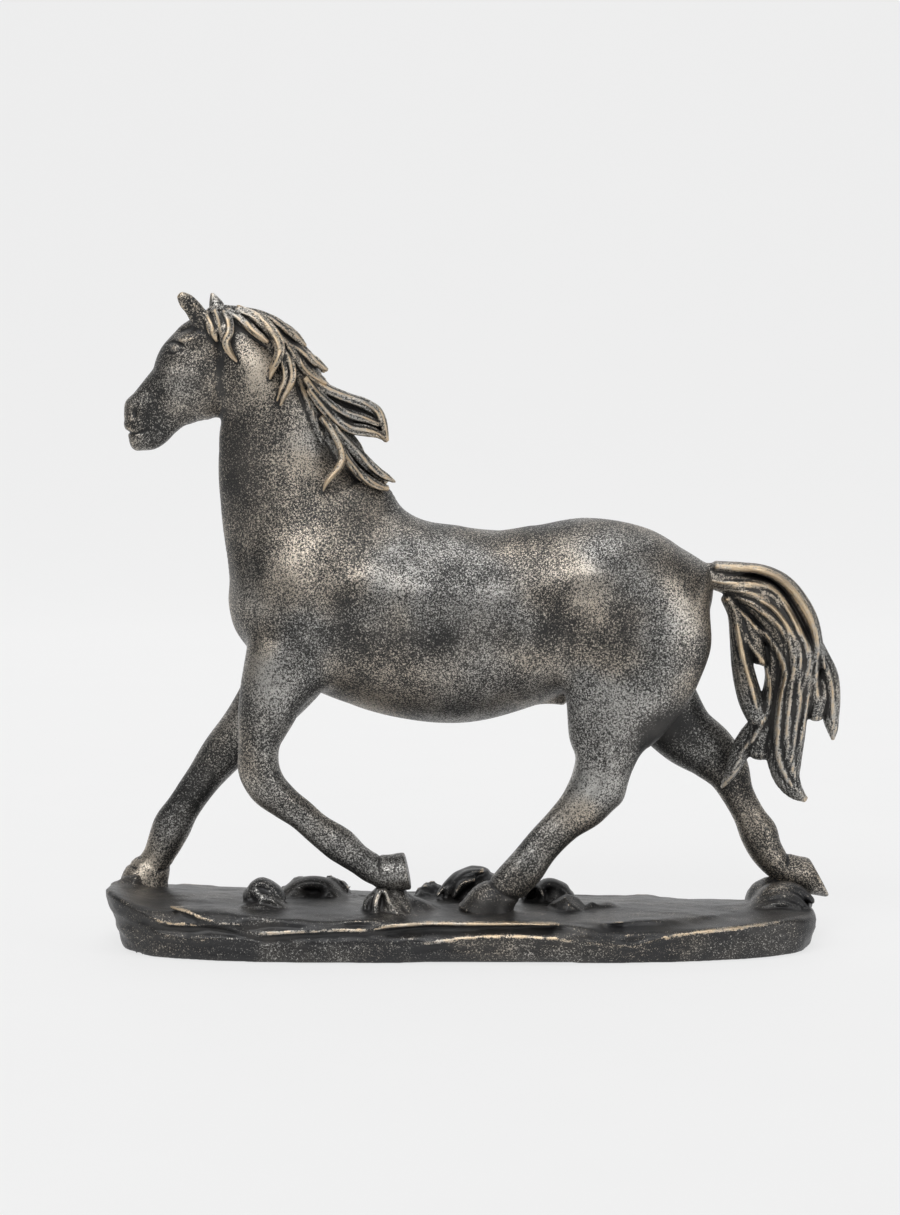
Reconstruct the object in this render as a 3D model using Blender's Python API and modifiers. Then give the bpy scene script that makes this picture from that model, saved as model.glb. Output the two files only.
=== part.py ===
"""Striding horse statue on a rocky ground base: cold-cast sections on steel dowels, over a felt sheet.

Run with: blender --background --python part.py
Row frame: +X from the horse's head to its tail, +Y to its off (right) side, +Z up. The origin is the
centre of the felt's underside. Tables are in millimetres and are multiplied by MM once, where used.
"""

import math

import bmesh
import bpy
from mathutils import Matrix, Vector, noise

MM = 0.001

# Driving dimensions, in millimetres.
BASE_HALF_LENGTH = 142.5
BASE_HALF_DEPTH = 45.0
FELT_THICKNESS = 1.0
FELT_INSET = 5.0
END_LEAN = 0.35             # how far the head end of the slab leans out, per unit of height
ROCK_ROOT = 7.0             # how far a rock's body reaches below its centre, into the slab
JOINT_GAP = 0.35            # glue line between two castings
PIN_CLEARANCE = 0.3

# Mesh resolution.
RING_SIDES = 10
FORM_VOXEL = 1.7
FORM_DECIMATE = 0.085
HAIR_DECIMATE = 0.13
BASE_SIDES = 56
PIN_SIDES = 16

# A subdivided ring shrinks inside its cage by this factor, so the cage is drawn larger.
CAGE_GROWTH = 3.0 / (2.0 + math.cos(math.tau / RING_SIDES))

# Stations along a centre line: (x, y, z, half depth in the XZ plane, half thickness along Y).
TORSO = [
    (-93, 0, 137, 13, 10), (-86.5, 0, 136, 23, 19), (-74, 0, 139, 31, 24.5), (-58, 0, 138, 36, 28),
    (-38, 0, 135.3, 40.8, 30), (-20, 0, 131.3, 41.9, 31.5), (0, 0, 128.4, 40.2, 32),
    (20, 0, 130.4, 37, 31), (38, 0, 136.6, 34.5, 29), (54, 0, 142, 31, 29), (68, 0, 143, 27.5, 28),
    (82, 0, 140, 22, 24), (93, 0, 137, 19, 17), (100, 0, 134, 11, 9),
]
NECK = [
    (-51, 0, 146, 44.5, 27), (-58, 0, 161, 38.5, 23), (-66, 0, 174, 31.5, 19), (-71, 0, 187, 26.5, 16.5),
    (-74, 0, 203, 23.2, 14.5), (-76.5, 0, 215, 20.5, 13.5), (-81.5, 0, 226, 18, 12.5),
    (-87, 0, 237, 14, 11), (-92, 0, 245, 9, 9),
]
HEAD = [
    (-92, 0, 246, 9, 9), (-100, 0, 237, 16, 11.5), (-107.5, 0, 227, 18, 12), (-113, 0, 221.5, 14.8, 10.5),
    (-118, 0, 218, 12.7, 9), (-123, 0, 214, 11.2, 8), (-127.3, 0, 208.5, 10.6, 7.6),
    (-130, 0, 204.5, 7.5, 6),
]
BROW = [(-101, 0, 247, 5, 9), (-107, 0, 242, 4.5, 10.5), (-112, 0, 236, 4, 10), (-114, 0, 231, 3, 7)]
CHIN = [(-111, 0, 214, 4, 5), (-117, 0, 208.5, 4.3, 6), (-123, 0, 204.3, 4.6, 5.5), (-130, 0, 203, 4, 4)]
NEAR_EAR = [
    (-99, -6, 243, 5.5, 3.5), (-104, -8, 251, 5, 3), (-109, -9, 257, 3.6, 2.4),
    (-111.8, -9.5, 261.3, 1.6, 1.2),
]
OFF_EAR = [(-95.5, 6, 247, 4.5, 3.5), (-97, 8, 254, 4.4, 2.6), (-99.2, 8.5, 261.5, 1.6, 1.2)]
SHEATH = [(28, 0, 103, 4, 4), (35, 0, 100.2, 4, 4), (41, 0, 98.8, 2.6, 2.6)]
CREST = [
    (-97, 0, 250, 3.5, 5), (-91, 0, 251, 4.5, 6), (-83, 0, 250, 6, 8.5), (-73, 0, 244, 6.5, 9),
    (-64, 0, 236, 6.6, 9), (-57, 0, 226, 6.2, 8), (-53, 0, 213, 6.6, 7.5), (-49.5, 0, 200, 7, 7),
    (-47.5, 0, 189, 6, 6), (-45, 0, 180, 4, 4),
]
NECK_LOCKS = [
    [(-89, -8, 252, 3, 3), (-92, -11, 243, 3.5, 3), (-90, -12.5, 233, 1.8, 1.8)],
    [(-80, -7, 251, 3.5, 3), (-73, -10, 240, 4.5, 3.5), (-74, -13, 228, 3.5, 2.5), (-78, -14, 219, 1.6, 1.6)],
    [(-66, -7, 236, 4, 3.5), (-68, -11, 226, 4, 3.2), (-74, -15, 213, 1.8, 1.6)],
    [(-53, -6, 205, 4.5, 3.5), (-50, -11, 196, 4, 3), (-57, -17, 182, 1.8, 1.6)],
]

LEGS = {
    "near_fore_leg": [
        (-52, -8, 150, 12, 8), (-57, -13, 134, 17, 11.5), (-65.5, -16, 118, 17, 12.5),
        (-73.3, -17, 104, 13.6, 11.5), (-77.8, -18, 92.5, 10.6, 10), (-80.4, -18.5, 81, 8, 8.5),
        (-80.6, -18.5, 73, 8.1, 8.3), (-77.8, -18.5, 66, 8, 8), (-71, -18.5, 59.9, 7.6, 7),
        (-64, -18.5, 54.7, 6.9, 6.4), (-56, -18.5, 48.6, 6.4, 6.2), (-48, -18.5, 42.6, 6.8, 6.8),
        (-41, -18.5, 37, 5.4, 6.2), (-35, -18.5, 33.3, 6.4, 7), (-27, -18.5, 31.7, 7.6, 8.4),
        (-22.2, -18.5, 31, 7.4, 8.4),
    ],
    "off_fore_leg": [
        (-52, 8, 150, 12, 8), (-58, 13, 130, 16, 11.5), (-67, 16, 112.5, 16, 12.5),
        (-77, 17, 98, 13.5, 11.5), (-88, 18, 85, 10.2, 9.5), (-98, 18.5, 73.5, 8.8, 8.5),
        (-106, 18.5, 63, 7.2, 7), (-113.7, 18.5, 52, 6.9, 6.4), (-118.7, 18.5, 44, 7.6, 7),
        (-121.2, 18.5, 38, 7.4, 7), (-124.5, 18.5, 32, 6.4, 6.6), (-127.5, 18.5, 26, 8.4, 8),
        (-130, 18.5, 20, 10, 9), (-131, 18.5, 15.5, 10, 9),
    ],
    "near_hind_leg": [
        (68, -7, 158, 12, 8), (67.5, -12, 142, 27, 13), (66.5, -15, 124, 32, 14.5), (65, -16, 110, 28, 14),
        (62, -17, 97, 21.5, 12.5), (58.5, -18, 85, 15.3, 10.5), (56.3, -18.5, 76, 11.8, 9.5),
        (53.6, -18.5, 67.5, 11, 9), (49.3, -18.5, 59, 11, 8.6), (40.5, -18.5, 51.5, 8.1, 7.4),
        (32.4, -18.5, 43.5, 7.3, 7), (26, -18.5, 35.5, 7.6, 7.2), (20.5, -18.5, 28.5, 8, 7.4),
        (14.5, -18.5, 23, 7.6, 7.4), (11.5, -18.5, 18, 11, 9), (11, -18.5, 14.5, 11.5, 9.5),
    ],
    "off_hind_leg": [
        (66, 7, 156, 12, 8), (67, 12, 140, 26, 13), (69, 15, 122, 25, 14), (74.5, 16, 105.5, 18, 13),
        (83, 17, 92.5, 14.8, 11.5), (91.5, 18, 82.3, 12.6, 10), (101.2, 18.5, 74.6, 11.2, 9),
        (108.5, 18.5, 66.5, 9, 8), (113, 18.5, 57.5, 7.4, 7), (117.5, 18.5, 49, 7, 6.6),
        (121, 18.5, 41.5, 7.2, 7), (124.5, 18.5, 34, 7, 7), (129, 18.5, 28.5, 6.6, 6.8),
        (134.5, 18.5, 25, 7.4, 7.6), (141, 18.5, 21.5, 7.8, 8.2), (146, 18.5, 18, 6.2, 7.8),
    ],
}

TAIL_LOCKS = [
    [(95, 0, 150, 6, 6), (102, 0, 147.8, 7, 7), (111, 0, 144.3, 10.5, 9), (121, 1, 137, 15.5, 10.5),
     (130, 2, 124.5, 15.5, 10.5), (133.5, 2, 108, 12, 9.5), (132, 2, 92, 10, 8), (130.5, 2, 78, 7.2, 6.5),
     (132.5, 1, 65, 4.8, 4.5), (138, 0, 58, 2, 2.4)],
    [(115, 2, 134, 7, 6), (113, 3, 117, 5.4, 5.5), (113.8, 4, 103, 5.4, 5.2), (118, 5, 91, 5, 5)],
    [(124, 4, 100, 5, 5), (118.5, 6, 84, 5.2, 5), (110.5, 7, 73.5, 4, 3.6), (104.5, 7.5, 65, 2, 2)],
    [(134, 0, 128, 7, 6), (143, -2, 114, 6.4, 6), (147, -3, 99, 5.4, 5), (148.8, -3, 84.5, 2, 2.2)],
]
MANE_LOCKS = {
    "mane_lock_upper": [
        (-58, 0, 221, 5.5, 5), (-48, -1, 215, 7, 5.5), (-38.5, -3, 210.5, 6.8, 5),
        (-31.5, -4, 205, 4.6, 3.6), (-28.8, -4, 201.5, 1.5, 1.8),
    ],
    "mane_lock_lower": [
        (-52, 0, 201, 5, 5), (-43.5, -1, 195, 5.8, 5), (-35.5, -2, 189, 5.4, 4.6),
        (-28, -3, 183.6, 2.6, 2.6),
    ],
}

# Saw cuts between sections: point on the joint (x, z), direction towards the cut-off section (x, z),
# half width across the cut, reach, and the Y range that the section fills.
NEAR_SIDE = (-60.0, -0.2)
OFF_SIDE = (0.2, 60.0)
BOTH_SIDES = (-60.0, 60.0)
SECTIONS = {
    "neck": ((-60, 165), (-0.425, 0.905), 75, 130, BOTH_SIDES),
    "head": ((-94, 232), (-0.987, 0.158), 45, 60, BOTH_SIDES),
    "near_fore_leg": ((-71, 106), (-0.45, -0.89), 90, 140, NEAR_SIDE),
    "off_fore_leg": ((-75, 99), (-0.587, -0.81), 40, 140, OFF_SIDE),
    "near_hind_leg": ((62, 104), (0.3, -0.95), 93, 140, NEAR_SIDE),
    "off_hind_leg": ((78, 104), (0.45, -0.89), 60, 140, OFF_SIDE),
}

# Rocks: centre (x, y, z), half sizes, turn about Z in degrees, roughness of the surface, noise seed.
ROCKS = {
    "rock_cone": ((-79, -16, 17), (9, 9, 12), 0, 1.6, 3),
    "rock_rubble": ((-60, 14, 15), (17, 11, 9), 10, 2.4, 11),
    "fore_hoof_mound": ((-28, -18.5, 15), (11, 13, 12), 0, 0.8, 5),
    "rock_pebble": ((-12, 16, 14), (7, 6, 7), 0, 1.0, 8),
    "rock_shell": ((5, 14, 14), (14, 12, 13.5), -12, 1.4, 14),
    "rock_arch": ((36, 6, 14), (11, 9, 9.5), 20, 1.8, 21),
    "rock_facet": ((42, -12, 14), (9, 8, 7.5), 0, 1.4, 26),
    "rock_flat": ((60, -4, 13), (12, 8, 5.5), -15, 1.0, 31),
    "hind_hoof_mound": ((129, 17, 13.5), (15.5, 15, 10.5), -8, 0.9, 36),
}

# Dowels: centre, direction, length, radius, and the two castings that they join.
DOWELS = {
    "neck_dowel": ((-60, 0, 165), (-0.425, 0, 0.905), 36, 3.0, ("torso", "neck")),
    "head_dowel": ((-94, 0, 232), (-0.987, 0, 0.158), 20, 2.0, ("neck", "head")),
    "tail_dowel": ((99, 0, 148.8), (1, 0, -0.3), 18, 1.5, ("torso", "tail")),
    "near_shoulder_dowel": ((-71, -17, 106), (0.45, 0, 0.89), 24, 2.0, ("torso", "near_fore_leg")),
    "off_shoulder_dowel": ((-75, 17, 99), (0.587, 0, 0.81), 24, 2.0, ("torso", "off_fore_leg")),
    "near_hip_dowel": ((62, -16, 104), (-0.3, 0, 0.95), 28, 2.5, ("torso", "near_hind_leg")),
    "off_hip_dowel": ((78, 16, 104), (-0.45, 0, 0.89), 26, 2.5, ("torso", "off_hind_leg")),
    "upper_lock_dowel": ((-46.5, -0.5, 212.3), (0.87, 0, -0.5), 10, 0.9, ("neck", "mane_lock_upper")),
    "lower_lock_dowel": ((-41.5, -0.5, 194.5), (0.85, 0, -0.53), 10, 0.9, ("neck", "mane_lock_lower")),
    "near_fore_hoof_pin": ((-29, -18.5, 22), (0, 0, 1), 24, 1.5, ("ground_base", "near_fore_leg")),
    "off_fore_hoof_pin": ((-129, 18.5, 18), (0, 0, 1), 22, 1.5, ("ground_base", "off_fore_leg")),
    "near_hind_hoof_pin": ((13.5, -18.5, 16), (0, 0, 1), 20, 1.5, ("ground_base", "near_hind_leg")),
    "off_hind_hoof_pin": ((131, 18.5, 19), (0, 0, 1), 22, 1.5, ("ground_base", "off_hind_leg")),
}

BRONZE = ("bronze_finish", (0.16, 0.145, 0.125, 1.0), 0.85, 0.42)
GROUND = ("ground_finish", (0.085, 0.078, 0.07, 1.0), 0.8, 0.5)
STEEL = ("steel_pin", (0.55, 0.56, 0.58, 1.0), 1.0, 0.35)
FELT = ("felt", (0.03, 0.035, 0.03, 1.0), 0.0, 0.95)


def material(finish):
    """The Principled material of that finish, made once."""
    name, colour, metallic, roughness = finish
    found = bpy.data.materials.get(name)
    if found:
        return found
    made = bpy.data.materials.new(name)
    made.use_nodes = True
    shader = made.node_tree.nodes["Principled BSDF"]
    shader.inputs["Base Color"].default_value = colour
    shader.inputs["Metallic"].default_value = metallic
    shader.inputs["Roughness"].default_value = roughness
    return made


def clear_scene():
    """Removes the startup objects and makes the two collections."""
    for item in list(bpy.data.objects):
        bpy.data.objects.remove(item)
    scene = bpy.context.scene.collection
    made = {}
    for name in ("horse_statue", "cutters"):
        made[name] = bpy.data.collections.new(name)
        scene.children.link(made[name])
    return made["horse_statue"], made["cutters"]


def add_object(name, mesh, collection, finish=None):
    made = bpy.data.objects.new(name, mesh)
    collection.objects.link(made)
    if finish:
        mesh.materials.clear()
        mesh.materials.append(material(finish))
    return made


def evaluated_mesh(obj):
    """A new mesh of the object with its modifiers applied, in world space."""
    graph = bpy.context.evaluated_depsgraph_get()
    graph.update()
    mesh = bpy.data.meshes.new_from_object(obj.evaluated_get(graph), depsgraph=graph)
    mesh.transform(obj.matrix_world)
    return mesh


def as_helper(obj):
    obj.hide_render = True
    obj.display_type = "WIRE"
    return obj


def boolean(obj, other, operation):
    made = obj.modifiers.new(f"{operation.lower()} {other.name}", "BOOLEAN")
    made.operation = operation
    made.object = other
    made.solver = "EXACT"


def subdivide(obj, levels):
    made = obj.modifiers.new("Subdivision", "SUBSURF")
    made.levels = levels
    made.render_levels = levels


# Lofted forms

def loft_mesh(name, stations):
    """A closed cage of elliptical rings square to the line through the stations."""
    shape = bmesh.new()
    rings = []
    for index, (x, y, z, depth, thickness) in enumerate(stations):
        before = stations[max(index - 1, 0)]
        after = stations[min(index + 1, len(stations) - 1)]
        along = Vector((after[0] - before[0], 0, after[2] - before[2])).normalized()
        across = Vector((-along.z, 0, along.x))
        ring = []
        for side in range(RING_SIDES):
            angle = math.tau * side / RING_SIDES
            offset = across * (math.cos(angle) * depth) + Vector((0, math.sin(angle) * thickness, 0))
            ring.append(shape.verts.new((Vector((x, y, z)) + offset * CAGE_GROWTH) * MM))
        rings.append(ring)
    for ring, following in zip(rings, rings[1:]):
        for side in range(RING_SIDES):
            turn = (side + 1) % RING_SIDES
            shape.faces.new((ring[side], ring[turn], following[turn], following[side]))
    shape.faces.new(reversed(rings[0]))
    shape.faces.new(rings[-1])
    bmesh.ops.recalc_face_normals(shape, faces=shape.faces)
    mesh = bpy.data.meshes.new(name)
    shape.to_mesh(mesh)
    shape.free()
    return mesh


def blended_form(name, lofts, decimate, cutters):
    """One skin over overlapping lofts: subdivided, voxel remeshed, smoothed and thinned out."""
    shape = bmesh.new()
    for number, stations in enumerate(lofts):
        cage = add_object(f"{name}_cage_{number}", loft_mesh(name, stations), cutters)
        subdivide(cage, 2)
        shape.from_mesh(evaluated_mesh(cage))
        bpy.data.objects.remove(cage)
    mesh = bpy.data.meshes.new(name)
    shape.to_mesh(mesh)
    shape.free()
    form = as_helper(add_object(name, mesh, cutters))
    remesh = form.modifiers.new("Remesh", "REMESH")
    remesh.mode = "VOXEL"
    remesh.voxel_size = FORM_VOXEL * MM
    smooth = form.modifiers.new("Smooth", "SMOOTH")
    smooth.factor = 0.5
    smooth.iterations = 4
    thin = form.modifiers.new("Decimate", "DECIMATE")
    thin.ratio = decimate
    skin = evaluated_mesh(form)
    bpy.data.objects.remove(form)
    skin.name = name
    return skin


def grown(obj, cutters):
    """A cutter that stands one joint gap proud of the object, so that its neighbour clears it."""
    made = as_helper(add_object(f"{obj.name}_clearance", evaluated_mesh(obj), cutters))
    displace = made.modifiers.new("Displace", "DISPLACE")
    displace.strength = JOINT_GAP * MM
    displace.mid_level = 0.0
    return made


def section_box(name, growth, cutters):
    """The box that a saw cut takes off, its joint face moved outwards by growth."""
    (x, z), (dx, dz), half_width, reach, (low, high) = SECTIONS[name]
    towards = Vector((dx, 0, dz)).normalized()
    bpy.ops.mesh.primitive_cube_add(size=1.0)
    made = bpy.context.object
    made.name = f"{name}_section_{'clearance' if growth else 'cut'}"
    length = reach + 2 * growth
    size = Vector((2 * (half_width + growth), high - low + 2 * growth, length)) * MM
    centre = Vector((x, (low + high) / 2, z)) + towards * (reach / 2)
    made.data.transform(Matrix.Diagonal((*size, 1.0)))
    across = Vector((0, 1, 0)).cross(towards)
    turn = Matrix((across, (0, 1, 0), towards)).transposed().to_4x4()
    made.data.transform(Matrix.Translation(centre * MM) @ turn)
    for home in list(made.users_collection):
        home.objects.unlink(made)
    cutters.objects.link(made)
    return as_helper(made)


# Ground base, felt and rocks

def base_outline(angle, inset):
    """A point of the base's long oval plan, drawn in by inset; the ends are squarer than an ellipse."""
    squareness = 0.62
    cosine, sine = math.cos(angle), math.sin(angle)
    x = math.copysign(abs(cosine) ** squareness, cosine)
    y = math.copysign(abs(sine) ** squareness, sine)
    waviness = 1.0 + 0.012 * math.sin(5 * angle + 1.0) + 0.008 * math.sin(9 * angle)
    half_depth = BASE_HALF_DEPTH * waviness - inset
    return x * (BASE_HALF_LENGTH - inset), y * half_depth


def leaned(x, z):
    """x at that height: the head end of the slab leans out towards its top."""
    return x - END_LEAN * (z - 18.5) * max(0.0, -x / BASE_HALF_LENGTH) ** 4


def ground_height(x, y):
    """Height of the ground: highest at the head end, domed across, a little lower at the back."""
    lengthwise = 14.4 - 0.018 * x + 2.8 * max(0.0, -x / BASE_HALF_LENGTH) ** 3
    return lengthwise + 2.2 * (1 - (y / BASE_HALF_DEPTH) ** 2) - 0.035 * y


def build_base(collection):
    """The ground slab: stacked outline rings from the underside up the side and in over the top."""
    side = [(1.8, FELT_THICKNESS), (0.4, 3.5), (0.0, 8.5), (1.2, 12.5)]
    over = [3.5, 8.0, 18.0, 30.0, 38.0]
    shape = bmesh.new()
    rings = []
    for inset, height in side + [(inset, None) for inset in over]:
        ring = []
        for step in range(BASE_SIDES):
            x, y = base_outline(math.tau * step / BASE_SIDES, inset)
            z = ground_height(x, y) if height is None else height
            ring.append(shape.verts.new((leaned(x, z) * MM, y * MM, z * MM)))
        rings.append(ring)
    for ring, following in zip(rings, rings[1:]):
        for step in range(BASE_SIDES):
            turn = (step + 1) % BASE_SIDES
            shape.faces.new((ring[step], ring[turn], following[turn], following[step]))
    shape.faces.new(reversed(rings[0]))
    near, far = rings[-1][BASE_SIDES // 2:] + rings[-1][:1], rings[-1][BASE_SIDES // 2::-1]
    for step in range(BASE_SIDES // 2):
        strip = (near[step], near[step + 1], far[step + 1], far[step])
        shape.faces.new(dict.fromkeys(strip))
    mesh = bpy.data.meshes.new("ground_base")
    shape.to_mesh(mesh)
    shape.free()
    return add_object("ground_base", mesh, collection, GROUND)


def build_felt(collection):
    """The felt sheet glued under the base, which the statue stands on."""
    curve = bpy.data.curves.new("base_felt", "CURVE")
    curve.dimensions = "2D"
    curve.fill_mode = "BOTH"
    curve.extrude = (FELT_THICKNESS - JOINT_GAP) / 2 * MM
    outline = curve.splines.new("POLY")
    outline.points.add(BASE_SIDES - 1)
    outline.use_cyclic_u = True
    for step, point in enumerate(outline.points):
        x, y = base_outline(math.tau * step / BASE_SIDES, FELT_INSET)
        point.co = (leaned(x, 0.0) * MM, y * MM, 0, 1)
    felt = bpy.data.objects.new("base_felt", curve)
    felt.location.z = (FELT_THICKNESS - JOINT_GAP) / 2 * MM
    curve.materials.append(material(FELT))
    collection.objects.link(felt)


def add_rock(base, name, cutters):
    """A lumpy boulder cast in one piece with the ground: it's joined to the base slab."""
    centre, half_sizes, turn, roughness, seed = ROCKS[name]
    bpy.ops.mesh.primitive_ico_sphere_add(subdivisions=3, radius=1.0)
    rock = bpy.context.object
    rock.name = name
    placing = Matrix.Translation(Vector(centre)) @ Matrix.Rotation(math.radians(turn), 4, "Z")
    for vertex in rock.data.vertices:
        lump = 1 + roughness * 0.12 * noise.noise(vertex.co * 1.7 + Vector((seed, 0, 0)))
        scaled = Vector(c * s * lump for c, s in zip(vertex.co, half_sizes))
        scaled.z = max(scaled.z, -ROCK_ROOT)
        vertex.co = placing @ scaled * MM
    for home in list(rock.users_collection):
        home.objects.unlink(rock)
    cutters.objects.link(rock)
    boolean(base, as_helper(rock), "UNION")


# Dowels

def dowel_mesh(name, extra):
    """A straight cylinder along the dowel's axis, enlarged by extra all round."""
    centre, direction, length, radius, _ = DOWELS[name]
    shape = bmesh.new()
    full_radius = (radius + extra) * MM
    bmesh.ops.create_cone(
        shape, cap_ends=True, segments=PIN_SIDES, radius1=full_radius, radius2=full_radius,
        depth=(length + 2 * extra) * MM,
    )
    turn = Vector((0, 0, 1)).rotation_difference(Vector(direction)).to_matrix().to_4x4()
    bmesh.ops.transform(shape, verts=shape.verts, matrix=Matrix.Translation(Vector(centre) * MM) @ turn)
    mesh = bpy.data.meshes.new(name)
    shape.to_mesh(mesh)
    shape.free()
    return mesh


def fit_dowels(castings, collection, cutters):
    """Adds each dowel and drills its hole in the castings that it joins."""
    for name, (*_, joined) in DOWELS.items():
        dowel = add_object(name, dowel_mesh(name, 0.0), collection, STEEL)
        dowel.data.set_sharp_from_angle(angle=math.radians(40))
        hole = as_helper(add_object(f"{name}_hole", dowel_mesh(name, PIN_CLEARANCE), cutters))
        for casting in joined:
            boolean(castings[casting], hole, "DIFFERENCE")


# Assembly

def build_horse(collection, cutters):
    """The horse's blended form, sawn into its sections."""
    lofts = [TORSO, SHEATH, NECK, HEAD, CHIN, BROW, NEAR_EAR, OFF_EAR, CREST, *NECK_LOCKS, *LEGS.values()]
    skin = blended_form("horse_form", lofts, FORM_DECIMATE, cutters)
    castings = {}
    for name in ("torso", *SECTIONS):
        castings[name] = add_object(name, skin.copy(), collection, BRONZE)
    clearances = {name: section_box(name, JOINT_GAP, cutters) for name in SECTIONS}
    for name in SECTIONS:
        boolean(castings[name], section_box(name, 0.0, cutters), "INTERSECT")
    boolean(castings["neck"], clearances["head"], "DIFFERENCE")
    for name in ("neck", *LEGS):
        boolean(castings["torso"], clearances[name], "DIFFERENCE")
    return castings


def build_statue():
    collection, cutters = clear_scene()
    castings = build_horse(collection, cutters)
    base = build_base(collection)
    build_felt(collection)
    for name in ROCKS:
        add_rock(base, name, cutters)
    castings["ground_base"] = base
    base_clearance = grown(base, cutters)
    for leg in LEGS:
        boolean(castings[leg], base_clearance, "DIFFERENCE")

    tail_skin = blended_form("tail_form", TAIL_LOCKS, HAIR_DECIMATE, cutters)
    castings["tail"] = add_object("tail", tail_skin, collection, BRONZE)
    for neighbour in ("torso", "off_hind_leg"):
        boolean(castings["tail"], grown(castings[neighbour], cutters), "DIFFERENCE")
    neck_clearance = grown(castings["neck"], cutters)
    for name, stations in MANE_LOCKS.items():
        lock_skin = blended_form(f"{name}_form", [stations], HAIR_DECIMATE, cutters)
        castings[name] = add_object(name, lock_skin, collection, BRONZE)
        boolean(castings[name], neck_clearance, "DIFFERENCE")
    fit_dowels(castings, collection, cutters)


build_statue()
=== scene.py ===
"""Visual model of the striding horse statue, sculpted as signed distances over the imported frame.

Tables are in millimetres in the row frame: +X from head to tail, +Y to the horse's off side, +Z up.
A station is (x, y, z, half depth in the XZ plane, half thickness along Y).
"""

import itertools
import math

import bpy
import numpy as np
import openvdb
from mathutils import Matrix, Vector


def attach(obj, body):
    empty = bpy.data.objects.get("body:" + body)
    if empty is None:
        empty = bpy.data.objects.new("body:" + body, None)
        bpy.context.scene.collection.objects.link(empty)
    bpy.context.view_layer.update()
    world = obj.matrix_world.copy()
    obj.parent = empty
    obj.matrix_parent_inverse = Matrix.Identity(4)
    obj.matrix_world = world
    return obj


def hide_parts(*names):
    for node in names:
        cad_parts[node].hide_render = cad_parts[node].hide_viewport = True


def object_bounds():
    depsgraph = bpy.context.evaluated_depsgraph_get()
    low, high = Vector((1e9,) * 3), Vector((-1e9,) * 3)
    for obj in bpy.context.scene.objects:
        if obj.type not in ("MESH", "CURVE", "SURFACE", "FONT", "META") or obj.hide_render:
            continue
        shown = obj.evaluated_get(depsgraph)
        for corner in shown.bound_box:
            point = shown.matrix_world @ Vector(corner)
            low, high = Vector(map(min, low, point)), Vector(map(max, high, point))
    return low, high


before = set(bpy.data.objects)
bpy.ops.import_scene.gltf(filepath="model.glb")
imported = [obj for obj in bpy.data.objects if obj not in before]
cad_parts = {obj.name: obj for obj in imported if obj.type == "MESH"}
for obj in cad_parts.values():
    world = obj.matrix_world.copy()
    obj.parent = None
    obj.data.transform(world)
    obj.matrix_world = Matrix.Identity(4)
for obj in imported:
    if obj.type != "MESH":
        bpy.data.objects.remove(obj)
cad_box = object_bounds()

MM = 0.001
FAR = 20.0
SIDE_BLEND = 3.0

# Sampling steps of the blocks, and the radius that ridges are told by, in mm.
BODY_STEP = 0.8
HEAD_STEP = 0.55
HAIR_STEP = 0.5
BASE_STEP = 0.84
RIDGE_RADIUS = 1.2

# The tables are drawn for a figure of this box. A frame packed with another box fits them to it.
DRAWN_LOW = np.array((-140.01, -44.73, 0.0))
DRAWN_HIGH = np.array((151.30, 45.65, 260.36))
FRAME_LOW = np.array(cad_box[0]) / MM
FRAME_SIDES = np.array(cad_box[1]) / MM - FRAME_LOW

# ---------------------------------------------------------------- tables of the horse

TORSO = [
    (-82.5, 0, 137.4, 21.3, 17.5), (-73, 0, 138.6, 29, 24), (-58, 0, 138, 34.5, 28), (-38, 0, 135, 38.6, 30),
    (-20, 0, 131.2, 40.1, 31.5), (0, 0, 128.6, 39.3, 32), (20, 0, 130.8, 35.8, 31), (38, 0, 136.4, 33, 29),
    (54, 0, 141.6, 29.6, 29), (68, 0, 142.4, 26, 28), (82, 0, 139.4, 21, 24), (91.4, 0, 136.8, 18, 17),
]
NECK = [
    (-51.5, 0, 146, 42.6, 27), (-58, 0, 161, 38.5, 23), (-66, 0, 174, 31.5, 19), (-71, 0, 187, 26.5, 16.5),
    (-74, 0, 203, 23.2, 14.5), (-76.5, 0, 215, 20.5, 13.5), (-81.5, 0, 226, 18, 12.5), (-87, 0, 237, 14, 11),
    (-92, 0, 245, 9, 9),
]
HEAD = [
    (-92, 0, 246, 9, 9), (-100, 0, 237, 15.4, 11.5), (-107.5, 0, 227, 16.6, 12), (-113, 0, 221.5, 14.2, 10.5),
    (-118, 0, 217.8, 12, 8.6), (-122.6, 0, 213.4, 10.8, 7.5), (-126.2, 0, 208.8, 9.8, 7.3),
    (-128.4, 0, 205.8, 7.6, 6.4),
]
CHIN = [
    (-112, 0, 213.6, 4, 5), (-117.6, 0, 208.4, 4.3, 5.8), (-123, 0, 203.6, 4.6, 5.8), (-129.4, 0, 202.5, 4.3, 5),
]
JOWL = [
    (-98.6, 0, 229, 12.6, 11.4), (-103.2, 0, 223.4, 13, 11.9), (-108, 0, 222.4, 10.6, 11),
]
BROW = [
    (-101, 0, 247, 4.6, 9), (-107, 0, 242.2, 3.8, 10.5), (-112, 0, 236.2, 3.2, 10), (-114, 0, 231, 2.4, 7),
]
SHEATH = [
    (26, 0, 104.6, 4, 4), (34, 0, 101.4, 4.2, 4.6), (40.5, 0, 99.2, 3, 3.6),
]
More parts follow.
